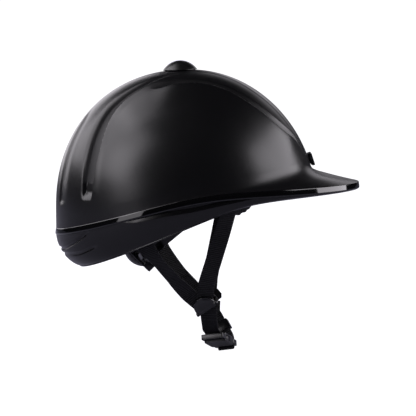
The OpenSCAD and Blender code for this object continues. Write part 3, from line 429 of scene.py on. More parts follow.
def moulded(name, base, worn, rough, grain, depth, scuff, coat):
    """Moulded plastic: fine grain, uneven sheen, hairline scuffs, and lighter marked edges: wear, and on the
    lower shell's rim also a painted highlight.
    """
    f = Finish(name, Coat_Weight=coat, Coat_Roughness=0.06)
    broad = f.clouds(11, 3)
    smudge = f.step(f.clouds(38, 4), 0.5, 0.75)
    hair = f.step(f.clouds(260, 2, f.stretched((1, 1, 0.06), (0.3, 0.9, 0.2))), 0.69, 0.74)
    hair = hair * f.step(f.clouds(16, 1), 0.5, 0.62)
    # Marked edges turn lighter: wear on eased parts, and on the lower shell's rim also a painted highlight.
    edge = f.mark("edge") * f.step(f.clouds(420, 3), 0.35, 0.6)
    speck = f.step(f.clouds(2100, 1), 0.71, 0.78)
    colour = f.tint(edge * 0.8 + hair * scuff + speck * 0.15 + broad * 0.22, base, worn)
    normal = f.bump(f.clouds(grain, 2), depth)
    normal = f.bump(hair, depth * 0.4, normal)
    sheen = broad * 0.08 + smudge * 0.05 + hair * 0.12 - edge * 0.06 + (rough - 0.05)
    return f.paint(Base_Color=colour, Roughness=sheen, Normal=normal)


def shell_finish():
    """The satin outer shell: a soft-grained skin, dust in the channels, and polish with a painted highlight
    on their lips.
    """
    f = Finish("shell_satin", Specular_IOR_Level=0.5)
    broad, fine = f.clouds(8, 3), f.clouds(1700, 2)
    hair = f.step(f.clouds(210, 2, f.stretched((0.05, 1, 1), (0.2, 0.5, 0.7))), 0.7, 0.75)
    hair = hair * f.step(f.clouds(13, 1), 0.52, 0.64)
    matt = f.mark("hollow")
    dust = matt * f.step(f.clouds(900, 3), 0.4, 0.65)
    # The crest mark paints a highlight: it lightens the colour along the channels' inner lips, and lowers the
    # roughness there as polish.
    crest = f.mark("crest") * f.step(f.clouds(150, 3), 0.35, 0.7)
    colour = f.tint(dust * 0.5 + hair * 0.35 + crest * 0.25 + broad * 0.2, (0.0014, 0.0014, 0.0017),
                    (0.014, 0.014, 0.016))
    normal = f.bump(f.clouds(3200, 1), 0.000009)
    normal = f.bump(fine, 0.00002, normal)
    sheen = broad * 0.05 + fine * 0.04 + dust * 0.05 + matt * 0.45 - crest * 0.05 + hair * 0.1 + 0.25
    return f.paint(Base_Color=colour, Roughness=sheen, Normal=normal)


def foam_finish():
    """Expanded bead foam: pressed beads with dark lines between them."""
    f = Finish("liner_foam", Specular_IOR_Level=0.35)
    spread = {"Vector": f.place, "Scale": 330}
    bead = f.node("ShaderNodeTexVoronoi", {"feature": "DISTANCE_TO_EDGE"}, spread)
    tone = f.node("ShaderNodeTexVoronoi", {"feature": "F1"}, spread, output="Color")
    grey = f.node("ShaderNodeSeparateColor", None, {"Color": tone})
    face = f.step(bead, 0.0, 0.16)
    colour = f.tint(face * (grey * 0.35 + 0.6), (0.008, 0.008, 0.009), (0.048, 0.048, 0.052))
    normal = f.bump(face, 0.00018)
    return f.paint(Base_Color=colour, Roughness=f.clouds(60, 2) * 0.12 + 0.55, Normal=normal)


def webbing_finish():
    """Ribbed webbing on the strap's own UV map: warp yarns along it, and weft ribs across."""
    f = Finish("webbing", Specular_IOR_Level=0.25)
    weave = f.node("ShaderNodeUVMap", {"uv_map": "weave"})
    run = f.node("ShaderNodeSeparateXYZ", None, {0: weave}, output="X")
    over = f.node("ShaderNodeSeparateXYZ", None, {0: weave}, output="Y")
    rib, yarn = RIB * MM, RIB / 2 * MM
    ribs = f.reckon("SINE", run * (2 * math.pi / rib))
    lift = f.reckon("SINE", run * (math.pi / rib) + f.reckon("FLOOR", over * (1 / yarn)) * math.pi)
    yarns = f.reckon("ABSOLUTE", f.reckon("SINE", over * (math.pi / yarn)))
    twist = f.reckon("SINE", run * (2 * math.pi / 0.00042) + over * (2 * math.pi / 0.0006))
    fuzz = f.clouds(2400, 3)
    height = yarns * 0.4 + lift * 0.25 + ribs * 0.35 + twist * 0.08 + fuzz * 0.3
    worn = f.step(f.clouds(45, 3), 0.45, 0.7) * 0.3 + f.mark("edge") * 0.35
    # The colour is lighter on the ribs' crests and raised yarns, which is a painted highlight, and lighter on
    # worn patches and marked edges, which is wear.
    share = f.step(ribs, -0.2, 1.0, 0.75) + f.step(height, 0.1, 1.2, 0.2) + worn * 0.5
    colour = f.tint(share, (0.0008, 0.0008, 0.001), (0.024, 0.024, 0.028))
    normal = f.bump(height, 0.00022)
    return f.paint(Base_Color=colour, Roughness=fuzz * 0.15 + 0.6, Normal=normal)


def pad_finish(name, base, worn):
    """Knitted lining over soft foam, with rows of small stitches."""
    f = Finish(name, Specular_IOR_Level=0.3, Sheen_Weight=0.35, Sheen_Roughness=0.5)
    knit = f.node("ShaderNodeTexVoronoi", {"feature": "F1"},
                  {"Vector": f.stretched((1, 1, 0.7)), "Scale": 900, "Randomness": 0.25})
    fuzz = f.clouds(2600, 3)
    broad = f.clouds(30, 3)
    seam = f.mark("seam")
    stitch = f.step(f.reckon("SINE", f.mark("run") * (2 * math.pi / 0.0028)), -0.2, 0.3) * seam
    loops = f.step(knit, 0.1, 0.6)
    height = (1 - loops) * 0.8 + fuzz * 0.3 + stitch * 1.5
    colour = f.tint((1 - loops) * 0.45 + broad * 0.3 + stitch * 0.35 + f.mark("edge") * 0.3, base, worn)
    normal = f.bump(height, 0.00025)
    return f.paint(Base_Color=colour, Roughness=fuzz * 0.1 + 0.78, Normal=normal)


def steel_finish():
    """Plain turned steel."""
    f = Finish("steel", Metallic=1.0)
    turned = f.clouds(900, 2, f.stretched((1, 0.05, 1)))
    colour = f.tint(turned * 0.6 + f.clouds(70, 2) * 0.4, (0.34, 0.34, 0.35), (0.55, 0.55, 0.56))
    return f.paint(Base_Color=colour, Roughness=turned * 0.15 + 0.22, Normal=f.bump(turned, 0.00002))


def nylon_finish():
    """Natural nylon gear plastic."""
    f = Finish("nylon", Specular_IOR_Level=0.45)
    colour = f.tint(f.clouds(90, 3), (0.42, 0.41, 0.37), (0.52, 0.51, 0.47))
    return f.paint(Base_Color=colour, Roughness=f.clouds(300, 2) * 0.1 + 0.38,
                   Normal=f.bump(f.clouds(1500, 2), 0.00002))


FINISHES = {"shell_satin": shell_finish(), "liner_foam": foam_finish(), "webbing": webbing_finish(),
            "pad_fabric": pad_finish("pad_fabric", (0.008, 0.008, 0.009), (0.035, 0.035, 0.039)),
            "nylon": nylon_finish(), "steel": steel_finish()}
# name, base, worn, roughness, grain per metre, grain depth in metres, scuffs, coat
for moulding in (
        ("button_satin", (0.0014, 0.0014, 0.0017), (0.02, 0.02, 0.022), 0.34, 1700, 0.00002, 0.3, 0.0),
        ("trim_gloss", (0.001, 0.001, 0.0012), (0.012, 0.012, 0.013), 0.06, 1500, 0.000002, 0.25, 0.5),
        ("lower_gloss", (0.0012, 0.0012, 0.0014), (0.014, 0.014, 0.015), 0.24, 1600, 0.000008, 0.3, 0.0),
        ("badge_gloss", (0.001, 0.001, 0.0012), (0.015, 0.015, 0.016), 0.16, 1500, 0.000004, 0.3, 0.0),
        ("hard_plastic", (0.0016, 0.0016, 0.002), (0.016, 0.016, 0.018), 0.3, 1300, 0.00002, 0.35, 0.0),
        ("lever_plastic", (0.0015, 0.0015, 0.0018), (0.03, 0.03, 0.033), 0.17, 1500, 0.000006, 0.35, 0.5)):
    FINISHES[moulding[0]] = moulded(*moulding)


# Making pieces
def laid_grid(rings, lengths=None):
    """A grid laid on rings of points, a row each. lengths, by row and by column, makes a weave map."""
    rows, columns = len(rings) - 1, len(rings[0]) - 1
    bm = bmesh.new()
    bmesh.ops.create_grid(bm, x_segments=columns, y_segments=rows, size=0.5)
    spots = {v: (round((v.co.y + 0.5) * rows), round((v.co.x + 0.5) * columns)) for v in bm.verts}
    if lengths:
        weave = bm.loops.layers.uv.new("weave")
        for face in bm.faces:
            for loop in face.loops:
                r, c = spots[loop.vert]
                loop[weave].uv = (lengths[0][r] * MM, lengths[1][c] * MM)
    for v, (r, c) in spots.items():
        v.co = rings[r][c] * MM
    return bm


def closed_up(bm):
    """Welds the grid's meeting edges and turns its faces outwards."""
    bmesh.ops.remove_doubles(bm, verts=bm.verts, dist=1e-6)
    bmesh.ops.dissolve_degenerate(bm, edges=bm.edges, dist=1e-7)
    bmesh.ops.recalc_face_normals(bm, faces=bm.faces)
    return bm


def finished(name, bm, slot, body="helmet", nodes=(), finish=None, sharp=None, marks=None):
    """Turns a bmesh into a piece that rides on its body, if it has one, and stands for its CAD nodes."""
    mesh = bpy.data.meshes.new(name)
    bm.to_mesh(mesh)
    bm.free()
    mesh.shade_smooth()
    if sharp:
        mesh.set_sharp_from_angle(angle=math.radians(sharp))
    for key, worth in (marks or {}).items():
        mark = mesh.attributes.new(key, "FLOAT", "POINT")
        mark.data.foreach_set("value", [worth(v.co / MM) for v in mesh.vertices])
    obj = bpy.data.objects.new(name, mesh)
    scene.collection.objects.link(obj)
    mesh.materials.append(FINISHES[finish or slot])
    if body:
        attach(obj, body)
    if nodes:
        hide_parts(*nodes)
    return obj


def ring_of(points):
    return points + points[:1]


# The three shells and the liner
def shell_angles():
    """The columns of the shells' grids, closer together where the grooves are."""
    half, a = [], 0.0
    while a < 179.6:
        half.append(a)
        a += 0.85 - 0.43 * hump(a, 128, 134, 150, 158) - 0.15 * hump(a, 5, 12, 60, 70)
    return half + [180.0] + [360 - b for b in half[:0:-1]]


SHELL_ANGLES = shell_angles()
DOME_ROWS, FILLET_ROWS = 146, 16
FILLET_LEAD = 0.44  # the share of the peak's fillet that lies above the dome's foot


def build_outer_shell():
    feet = [foot_angle(a) for a in SHELL_ANGLES]
    start = [t - PEAK_FILLET * FILLET_LEAD for t in feet]
    columns = list(enumerate(SHELL_ANGLES))
    rings = [[Vector((CROWN_X, 0, DOME_TOP)) for _ in columns]]
    for k in range(1, DOME_ROWS + 1):
        rings.append([carved(skin_pt(a, start[i] * k / DOME_ROWS, 0), a, 1) for i, a in columns])
    foot = [skin_pt(a, feet[i], 0) for i, a in columns]
    edge = [on_edge(a, 0, edge_z(a)) for a in SHELL_ANGLES]
    share = [edge[i].lerp(foot[i], (1 - FILLET_SHARE) * fade(cosd(a), 0.05, 0.3)) for i, a in columns]
    rings += [[bezier(rings[DOME_ROWS][i], foot[i], share[i], k / FILLET_ROWS) for i, a in columns]
              for k in range(1, FILLET_ROWS + 1)]
    rings += [[share[i].lerp(edge[i], k / 6) for i, a in columns] for k in range(1, 7)]
    for d, drop in ((0.35, 0.12), (REBATE, GAP / 4), (REBATE, TRIM_H / 2 - GAP / 4)):
        rings.append([on_edge(a, d, edge_z(a) - drop) for i, a in columns])
    inside = [on_edge(a, REBATE + SHELL_WALL, edge_z(a) - TRIM_H / 2 + GAP / 4) for i, a in columns]
    rings.append(inside)
    for k in (1, 2):
        rings.append([bezier(inside[i], skin_pt(a, feet[i], SHELL_WALL) - Vector((0, 0, SHELL_WALL)),
                             skin_pt(a, start[i] - 2, SHELL_WALL), k / 3) for i, a in columns])
    for k in range(12, 0, -1):
        rings.append([carved(skin_pt(a, (start[i] - 2) * k / 12, SHELL_WALL), a, INNER_SHARE)
                      for i, a in columns])
    rings.append([Vector((CROWN_X, 0, DOME_TOP - SHELL_WALL)) for _ in columns])

    # Marks the channels' inner lips, where the finish paints a highlight and adds polish.
    def crest(p):
        return hump(across(p.x, p.y), -6, -2, -2, 0) if p.z > 30 else 0.0
    bm = closed_up(laid_grid([ring_of(r) for r in rings]))
    finished("outer_shell_skin", bm, "shell_satin", nodes=["outer_shell"], sharp=50,
             marks={"hollow": hollow, "crest": crest})


def build_edge_trim():
    # The strip's face leans in with the shell; its edges are rounded
    section = [(REBATE - GAP / 2, -GAP / 2), (0.1, -GAP / 2), (-0.12, -0.28), (-0.24, -0.55), (-0.34, -1.0),
               (-0.62, -3.4), (-0.84, -5.0), (-0.9, -5.7), (-0.84, -6.2), (-0.66, -6.6), (-0.35, -6.8),
               (REBATE - GAP / 2, -6.8)]
    rings = [[on_edge(a, d, edge_z(a) + z) for a in SHELL_ANGLES] for d, z in section]
    bm = closed_up(laid_grid([ring_of(r) for r in ring_of(rings)]))
    finished("edge_trim_strip", bm, "trim_gloss", nodes=["edge_trim"], sharp=60)


CREASE_LINE = [(-58, 0), (-48, 3.2), (-20, 4.8), (11, 6.6), (35, 5), (58, 2.2), (68, 0)]
FOLDS = [([(-124, 14.5), (-118, 12), (-106, 6.8), (-96, 1.4)], -94),
         ([(-124, 21), (-114, 21.6), (-106, 21.8), (-96, 19.4), (-86, 16.6)], -84)]
FOLD_DEPTH, CREASE_LEAN, CREASE_MOST = 1.9, 0.34, 1.5
RIM_SHARE, RIM_PROUD, RIM_HALF = 0.1, 0.75, 0.85


def lower_relief(p):
    """The side panel is upright under the trim, down to a break; two folds run round the rear."""
    d = seam_z(p.x) - TRIM_H - p.z
    out = min(CREASE_MOST, CREASE_LEAN * max(0, along(CREASE_LINE, p.x) - d))
    for line, end in FOLDS:
        at = along(line, p.x)
        out += FOLD_DEPTH * hump(d, at - 2, at, at, at + 4) * (1 - fade(p.x, end - 10, end))
    return out


def rim_lip(a):
    """The last stretch down to the rim, which ends in a rounded lip."""
    steps = 90
    path = [low_pt(a, 1 - RIM_SHARE * (j / steps) ** 2, 0) for j in range(steps + 1)]
    far = run_along(path)
    out, points, i = edge_out(a), [], 0
    close = [0.0, 0.08, 0.25, 0.5, 0.8, 1.1, 1.35, 1.55, 1.7, 1.85]
    for s in close + [mix(2.1, far[-1], f / 7) for f in range(7)]:
        while i < steps - 1 and far[i + 1] < s:
            i += 1
        p = path[i].lerp(path[i + 1], (s - far[i]) / max(1e-9, far[i + 1] - far[i]))
        t = (path[i + 1] - path[i]).normalized()
        along_out = t.x * out.x + t.y * out.y
        proud = RIM_PROUD * max(0.0, 1 - ((s - RIM_HALF) / RIM_HALF) ** 2) ** 0.5
        points.append(p + Vector((out.x * t.z, out.y * t.z, -along_out)) * proud)
    return points[::-1]


def build_lower_shell():
    rows = [v for v in [(i / 56) ** 1.15 for i in range(57)] if v < 1 - RIM_SHARE]
    tucked, foot = TRIM_H / 2 + GAP / 4, TRIM_H - GAP / 4
    behind_trim = ((REBATE + SHELL_WALL, tucked), (REBATE, tucked), (REBATE, foot))
    rings = [[on_edge(a, d, edge_z(a) - drop) for a in SHELL_ANGLES] for d, drop in behind_trim]
    for v in rows:
        ring = []
        for a in SHELL_ANGLES:
            p, n = low_pt(a, v, 0), edge_out(a)
            c = lower_relief(p) if cosd(a) < 0 or abs(sind(a)) > 0.8 else 0
            ring.append(Vector((p.x - n.x * c, p.y - n.y * c, p.z)))
        rings.append(ring)
    rings += [list(row) for row in zip(*[rim_lip(a) for a in SHELL_ANGLES])]
    for v in (1, 0.93, 0.85, 0.7, 0.55, 0.4, 0.27, 0.15):
        rings.append([low_pt(a, v, SHELL_WALL) for a in SHELL_ANGLES])
    bm = closed_up(laid_grid([ring_of(r) for r in ring_of(rings)]))
    # The edge mark lightens the rim's lip: partly wear, and partly a painted highlight for the bright line
    # along the rim.
    finished("lower_shell_skin", bm, "lower_gloss", nodes=["lower_shell"], sharp=50, marks={
        "edge": lambda p: 1 - fade(p.z - rim_z(p.x), 0.4, 1.6)})


def liner_floor(a):
    return rim_height(a) + SHELL_WALL + GAP


def cavity_plan(a, d):
    return Vector((CROWN_X + (reach(a) - LINER_IN - FOAM_END - d) * signed_pow(cosd(a), 2 / PLAN_POWER),
                   (DOME_W / 2 - LINER_IN - FOAM_SIDE - d) * signed_pow(sind(a), 2 / PLAN_POWER)))


def cavity_at(a, z, d):
    h = max(0, z - EQUATOR) / (CAVITY_TOP - EQUATOR - d)
    f = 0 if h >= 1 else (1 - h ** REAR_POWER) ** (1 / REAR_POWER)
    p = cavity_plan(a, d)
    return Vector((CROWN_X + (p.x - CROWN_X) * f, p.y * f, z))


def build_liner():
    angles = [i * 2 for i in range(180)]
    base = {a: height_angle(a, edge_z(a) - TRIM_H / 2, LINER_IN) for a in angles}
    rings = [[Vector((CROWN_X, 0, DOME_TOP - LINER_IN)) for _ in angles]]
    for k in range(1, 19):
        rings.append([skin_pt(a, base[a] * k / 18, LINER_IN) for a in angles])
    for v in (0.15, 0.3, 0.45, 0.6, 0.72, 0.85, 0.93, 0.98):
        ring = []
        for a in angles:
            s = skin_pt(a, base[a], LINER_IN)
            p = Vector((s.x, s.y)).lerp(plan_pt(a, max(LINER_IN, roll(a))), tuck(v))
            ring.append(Vector((p.x, p.y, mix(s.z, liner_floor(a), v))))
        rings.append(ring)
    # The bottom edge is rounded towards the cavity
    for share, rise in ((0.12, 0.0), (0.5, 0.0), (0.9, 0.0), (0.97, 0.6)):
        ring = []
        for a in angles:
            p = plan_pt(a, max(LINER_IN, roll(a))).lerp(cavity_plan(a, 0), share)
            ring.append(Vector((p.x, p.y, liner_floor(a) + rise)))
        rings.append(ring)
    for k in range(1, 27):
        lift = 1.5 if k == 1 else 0
        rings.append([cavity_at(a, mix(liner_floor(a), CAVITY_TOP, sind(k / 27 * 90)) + lift, 0)
                      for a in angles])
    rings.append([Vector((CROWN_X, 0, CAVITY_TOP)) for _ in angles])
    bm = closed_up(laid_grid([ring_of(r) for r in rings]))
    finished("foam_liner", bm, "liner_foam", nodes=["eps_liner"], sharp=60)


# Crown button: a turned cap with a low skirt
def build_button():
    seat = Matrix.Translation((-0.004, 0, 0.1414)) @ Matrix.Rotation(math.radians(-2.7), 4, "Y")
    cap_r, cap_h = 21.2, 10.0
    profile = [(0, 3.4), (13.9, 3.4), (14.0, 0.1), (17.2, 0.0), (17.7, 0.3), (17.7, 0.8), (17.25, 1.1)]
    profile += [(cap_r * sind(t), cap_r * cosd(t) - (cap_r - cap_h)) for t in range(54, -1, -3)]
    bm = bmesh.new()
    verts = [bm.verts.new((x * MM, 0, z * MM)) for x, z in profile]
    edges = [bm.edges.new(pair) for pair in zip(verts, verts[1:])]
    bmesh.ops.spin(bm, geom=verts + edges, cent=(0, 0, 0), axis=(0, 0, 1), angle=2 * math.pi, steps=96,
                   use_merge=True)
    bmesh.ops.transform(bm, matrix=seat, verts=bm.verts)
    finished("crown_button_cap", closed_up(bm), "shell_satin", nodes=["crown_button"], finish="button_satin",
             sharp=55)


# Straps
def strap(name, points, dirs, node, steps=8, body="helmet", slanted=False):
    """Webbing through a few points: a rounded selvedge, and ribs across it in the mesh itself. A slanted
    strap's first end lies along its own first direction."""
    path = smooth_path([Vector(p) for p in points], steps * 6)
    widths = shared([Vector(d) for d in dirs], steps * 6)
    run = run_along(path)
    count = max(24, round(run[-1] / 0.34))
    rings, lengths, j = [], [], 0
    half, thick = WEB_W / 2, WEB_T / 2
    outline = [(-half, 0), (-half + 0.12, 0.62), (-half + 0.5, 0.95), (-half + 1.3, 1)]
    outline += [(mix(-half + 1.3, half - 1.3, i / 6), 1) for i in range(1, 6)]
    outline += [(half - 1.3, 1), (half - 0.5, 0.95), (half - 0.12, 0.62), (half, 0)]
    outline = outline + [(x, -y) for x, y in outline[-2:0:-1]]
    outline.append(outline[0])
    around = [0.0]
    for p, q in zip(outline, outline[1:]):
        around.append(around[-1] + math.hypot(q[0] - p[0], (q[1] - p[1]) * thick))
    for i in range(count + 1):
        s = run[-1] * i / count
        while j < len(run) - 2 and run[j + 1] < s:
            j += 1
        t = (s - run[j]) / max(1e-9, run[j + 1] - run[j])
        p = path[j].lerp(path[j + 1], t)
        d = (path[min(len(path) - 1, j + 2)] - path[max(0, j - 1)]).normalized()
        w = widths[j].lerp(widths[j + 1], t)
        w = (w - d * w.dot(d)).normalized()
        m = d.cross(w)
        rib = RIB_RISE * math.sin(2 * math.pi * s / RIB)
        narrow = 1 - 0.004 * abs(rib)
        first = widths[0] / widths[0].dot(w)
        u = w.lerp(first, 1 - fade(s, 0, 12)) if slanted else w
        if i in (0, count):
            rings.append([p for _ in outline])
            lengths.append(s)
        rings.append([p + u * (x * narrow) + m * (y * (thick - RIB_RISE) + (rib if y > 0 else -rib) * abs(y))
                      for x, y in outline])
        lengths.append(s)
        if i == count:
            rings[-2], rings[-1] = rings[-1], rings[-2]
    bm = closed_up(laid_grid(rings, (lengths, around)))
    return finished(name, bm, "webbing", body=body, nodes=[node], sharp=70)


DIVIDER_X, DIVIDER_Y, DIVIDER_Z = 24.5, 46, -97
DIVIDER_R, DIVIDER_LEAN, DIVIDER_TURN, LEVER_FLAT = 12, 26, 40, 2.94
STRAP_SKEW, STRAP_HANG = 2, 9  # the left side lies further forward and hangs lower
FRONT_ANCHOR_A, REAR_ANCHOR_A = 72, 109
WEB_GAP = 0.3
REAR_LAYER = WEB_GAP + WEB_T / 2
FRONT_LAYER = REAR_LAYER + WEB_T + WEB_GAP


def on_divider(s, x, y, z):
    up = Vector((0, s * sind(DIVIDER_LEAN), cosd(DIVIDER_LEAN)))
    out = Vector((0, s * cosd(DIVIDER_LEAN), -sind(DIVIDER_LEAN)))
    at = Vector((DIVIDER_X + s * STRAP_SKEW + x, s * DIVIDER_Y, DIVIDER_Z - max(0, s) * STRAP_HANG))
    return at + up * y + out * z


def build_lever_cap(name, body, s):
    """The lever's face: a rounded rim round its D, a fine groove, and a full dome inside."""
    lift, turns, groove, dome = 2 * WEB_T + 3 * WEB_GAP, 72, 0.9, 3.0
    outline = []
    for i in range(turns):
        a = 360 * i / turns
        r = DIVIDER_R - 0.05 if DIVIDER_R * sind(a) > -LEVER_FLAT else LEVER_FLAT / -sind(a)
        outline.append((r * cosd(a), r * sind(a)))
    profile = [(0, 1.2), (0.9, 1.2), (0.995, 1.2), (1.0, 1.7), (0.998, 2.8), (0.985, 3.3), (0.965, 3.5),
               (0.94, 3.4), (0.92, 3.1), (groove, dome)]
    profile += [(groove * (1 - i / 14), dome + 2.5 * (1 - (1 - i / 14) ** 3)) for i in range(1, 15)]
    c, d = cosd(DIVIDER_TURN), sind(DIVIDER_TURN)
    rings = []
    for share, rise in profile:
        ring = [(x * share, 1 + (y - 1) * share) for x, y in outline]
        rings.append(ring_of([on_divider(s, x * c - y * d, x * d + y * c, lift + rise) for x, y in ring]))
    finished(name, closed_up(laid_grid(rings)), "hard_plastic", body=body, finish="lever_plastic")


def anchor_spot(a):
    p = plan_pt(a, LINER_IN + FOAM_SIDE * 0.42)
    return Vector((p.x, p.y, liner_floor(a) - 0.8))


def anchor_dir(a):
    g = math.copysign(3, a)
    p, q = plan_pt(a - g, LINER_IN), plan_pt(a + g, LINER_IN)
    return Vector((p.x - q.x, p.y - q.y, liner_floor(a - g) - liner_floor(a + g))).normalized()


def anchor_down(a):
    v = anchor_dir(a)
    return (v * v.z - Vector((0, 0, 1))).normalized()


def strap_top(a):
    return anchor_spot(a) + anchor_down(a) * 3.6


SOCKET_L, LADDER_L, TONGUE_L = 27, 11, 12
BUCKLE_AT = Vector((36.5, -3, -143))
BUCKLE_TURN = (Matrix.Rotation(math.radians(-20), 3, "Z") @ Matrix.Rotation(math.radians(-20), 3, "X")
               @ Matrix.Rotation(math.radians(-10), 3, "Y"))
ACROSS = BUCKLE_TURN @ Vector((1, 0, 0))


def in_buckle(x, y, z):
    return BUCKLE_AT + BUCKLE_TURN @ Vector((x, y, z))


def side_straps(side, s):
    """One side's front and rear webbing, down to its divider. s is 1 on the left and -1 on the right."""
    level, lower = Vector((1, 0, 0)), max(0, s)
    a = s * FRONT_ANCHOR_A
    top, knee = strap_top(a), on_divider(s, 1.2, DIVIDER_R + 14, FRONT_LAYER)
    strap(f"front_web_{side}",
          [top, top.lerp(knee, 0.35), top.lerp(knee, 0.7), knee,
           on_divider(s, 0.2, DIVIDER_R + 2, FRONT_LAYER), on_divider(s, -1.5, 1.5, FRONT_LAYER)],
          [anchor_dir(a), (1, 0, 0.1), (1, 0, 0.1), level, level, level], f"front_strap_{side}", slanted=True)
    a = s * REAR_ANCHOR_A
    top, knee = strap_top(a), on_divider(s, -DIVIDER_R - 5, 11.3, REAR_LAYER)
    bow = Vector((0, 0, -1 - lower * 4))
    flat = level + Vector((0, s * sind(DIVIDER_LEAN), cosd(DIVIDER_LEAN)))
    strap(f"rear_web_{side}",
          [top, top.lerp(knee, 0.3) + bow, top.lerp(knee, 0.66) + bow, knee,
           on_divider(s, -11, 5, REAR_LAYER), on_divider(s, -5, -1, REAR_LAYER)],
          [anchor_dir(a), (0.76, s * 0.62, 0.2), (0.78, s * 0.55, 0.33), flat, flat, flat],
          f"rear_strap_{side}", slanted=True)


def build_straps():
    """All the webbing. Returns the left chin strap and where it begins and ends."""
    side_straps("left", 1)
    side_straps("right", -1)
    level = Vector((1, 0, 0))
    slot = -SOCKET_L / 2 - LADDER_L / 2 + 1
    b, e = on_divider(-1, 3.6, -DIVIDER_R - 3, FRONT_LAYER), in_buckle(0, slot - 7.5, 6)
    strap("chin_web_right",
          [on_divider(-1, 3.6, -2, FRONT_LAYER), b, b.lerp(e, 0.5) + Vector((0, -1, -0.5)), e,
           in_buckle(0, slot - 3, 5), in_buckle(0, slot - 0.6, 3.1), in_buckle(0, slot, -0.6)],
          [level, level] + [ACROSS] * 5, "chin_strap_right")
    y = SOCKET_L / 2 + GAP + TONGUE_L / 2 + 1.5
    start, end = on_divider(1, 3.6, -DIVIDER_R - 3, FRONT_LAYER), in_buckle(0, y + 6.2, 7)
    d = (end - start).normalized()
    c = (ACROSS - d * ACROSS.dot(d)).normalized()
    inner = d.cross(c) * (WEB_T + 0.6)
    # Down to the buckle, round the tongue's bar, and the tail back up inside
    down = [on_divider(1, 3.6, -2, FRONT_LAYER), start]
    down += [start.lerp(end, t) for t in (0.25, 0.5, 0.75)] + [end]
    turn = [in_buckle(0, y + over, z) for over, z in (
        (7, 1.5), (6.2, -3.2), (3.6, -5.4), (1.2, -4.6), (0, -1.6), (0.3, 3))]
    tail = [start.lerp(end, 0.95) + inner * 1.3] + [start.lerp(end, t) + inner for t in (0.8, 0.6, 0.4)]
    chin = strap("chin_web_left", down + turn + tail, [level, level, c, c, c] + [ACROSS] * 8 + [c, c, c],
                 "chin_strap_left", steps=6, body=None)
    return chin, start.lerp(end, 0.75) * MM, turn[0] * MM


# Comfort pads: each starts a little slack, swells as cloth, and then rests on its wall and is sewn
PAD_T, PAD_GAP, SLACK = 7, 0.5, 1.6
SEAM_HALF = (0.9, 1.8)
PAD_ARC_R = 95  # the rough radius on which the strip pads lie


def swollen(bm, voxel=0.003, pressure=4.0, cap=0.0019, frames=20):
    """A closed shape blown up a little as cloth: remeshed, simulated, capped and subdivided once."""
    mesh = bpy.data.meshes.new("swelling")
    bm.to_mesh(mesh)
    bm.free()
    obj = bpy.data.objects.new("swelling", mesh)
    scene.collection.objects.link(obj)
    remesh = obj.modifiers.new("even", "REMESH")
    remesh.mode, remesh.voxel_size = "VOXEL", voxel
    even = bpy.data.meshes.new_from_object(obj.evaluated_get(bpy.context.evaluated_depsgraph_get()))
    obj.modifiers.clear()
    obj.data = even
    cloth = obj.modifiers.new("swell", "CLOTH")
    cloth.settings.quality = 5
    cloth.settings.use_pressure = True
    cloth.settings.uniform_pressure_force = pressure
    cloth.settings.effector_weights.gravity = 0
    for frame_at in range(1, frames + 1):
        scene.frame_set(frame_at)
    grown = obj.evaluated_get(bpy.context.evaluated_depsgraph_get()).data
    moves = [b.co - a.co for a, b in zip(even.vertices, grown.vertices)]
    obj.modifiers.clear()
    for v, move in zip(even.vertices, moves):
        v.co += move * min(1.0, cap / max(move.length, 1e-9))
    obj.modifiers.new("smooth", "SUBSURF").levels = 1
    fine = bpy.data.meshes.new_from_object(obj.evaluated_get(bpy.context.evaluated_depsgraph_get()))
    bpy.data.objects.remove(obj)
    scene.frame_set(1)
    out = bmesh.new()
    out.from_mesh(fine)
    return out


def cushion(name, node, rings, settle, marks, body="helmet"):
    """A pad from its slack rings. settle(p) lays a point on the wall and draws it in at the seams."""
    bm = swollen(closed_up(laid_grid(rings)))
    for v in bm.verts:
        v.co = settle(v.co / MM) * MM
    obj = finished(name, bm, "pad_fabric", body=body, nodes=[node], marks=marks)


def inward(a):
    v = cavity_plan(a + 1, 0) - cavity_plan(a - 1, 0)
    return Vector((-v.y, v.x, 0)).normalized()


def pinch(s, channels):
    """The share of its thickness that a pad keeps at s along it, where it is sewn between its channels."""
    return 1 - 0.5 * abs(math.cos(math.pi * s * channels)) ** 14


def pad_side(t):
    """How thick a pad is at angle t round its section: full in the middle, and thin where it ends."""
    sine, edge = math.sin(t), 0.36
    if sine > 0:
        return edge + (1 - edge) * signed_pow(sine, 0.8)
    return edge * (1 - signed_pow(-sine, 0.5))


PAD_OUTLINE = [(0.5 + 0.5 * signed_pow(math.cos(t), 0.55), pad_side(t))
               for t in [math.pi * i / 18 for i in range(36)]]


def seam(s, channels, pitch):
    """1 on the sewn lines between a pad's channels, pitch mm apart. s is the share along the pad."""
    return 1 - fade(abs(math.sin(math.pi * (s * channels + 0.5))) * pitch / math.pi, *SEAM_HALF)


def capped(rings):
    """Rings closed at both ends by their middles."""
    first, last = [sum(r[:-1], Vector()) / (len(r) - 1) for r in (rings[0], rings[-1])]
    return [[first] * len(rings[0])] + rings + [[last] * len(rings[0])]


def cavity_angle(p):
    """The angle at which a point lies in the cavity's plan."""
    reach_x = (DOME_FRONT - CROWN_X if p.x > CROWN_X else DOME_REAR + CROWN_X) - LINER_IN - FOAM_END
    u, v = (p.x - CROWN_X) / reach_x, p.y / (DOME_W / 2 - LINER_IN - FOAM_SIDE)
    return math.degrees(math.atan2(signed_pow(v, PLAN_POWER / 2), signed_pow(u, PLAN_POWER / 2)))


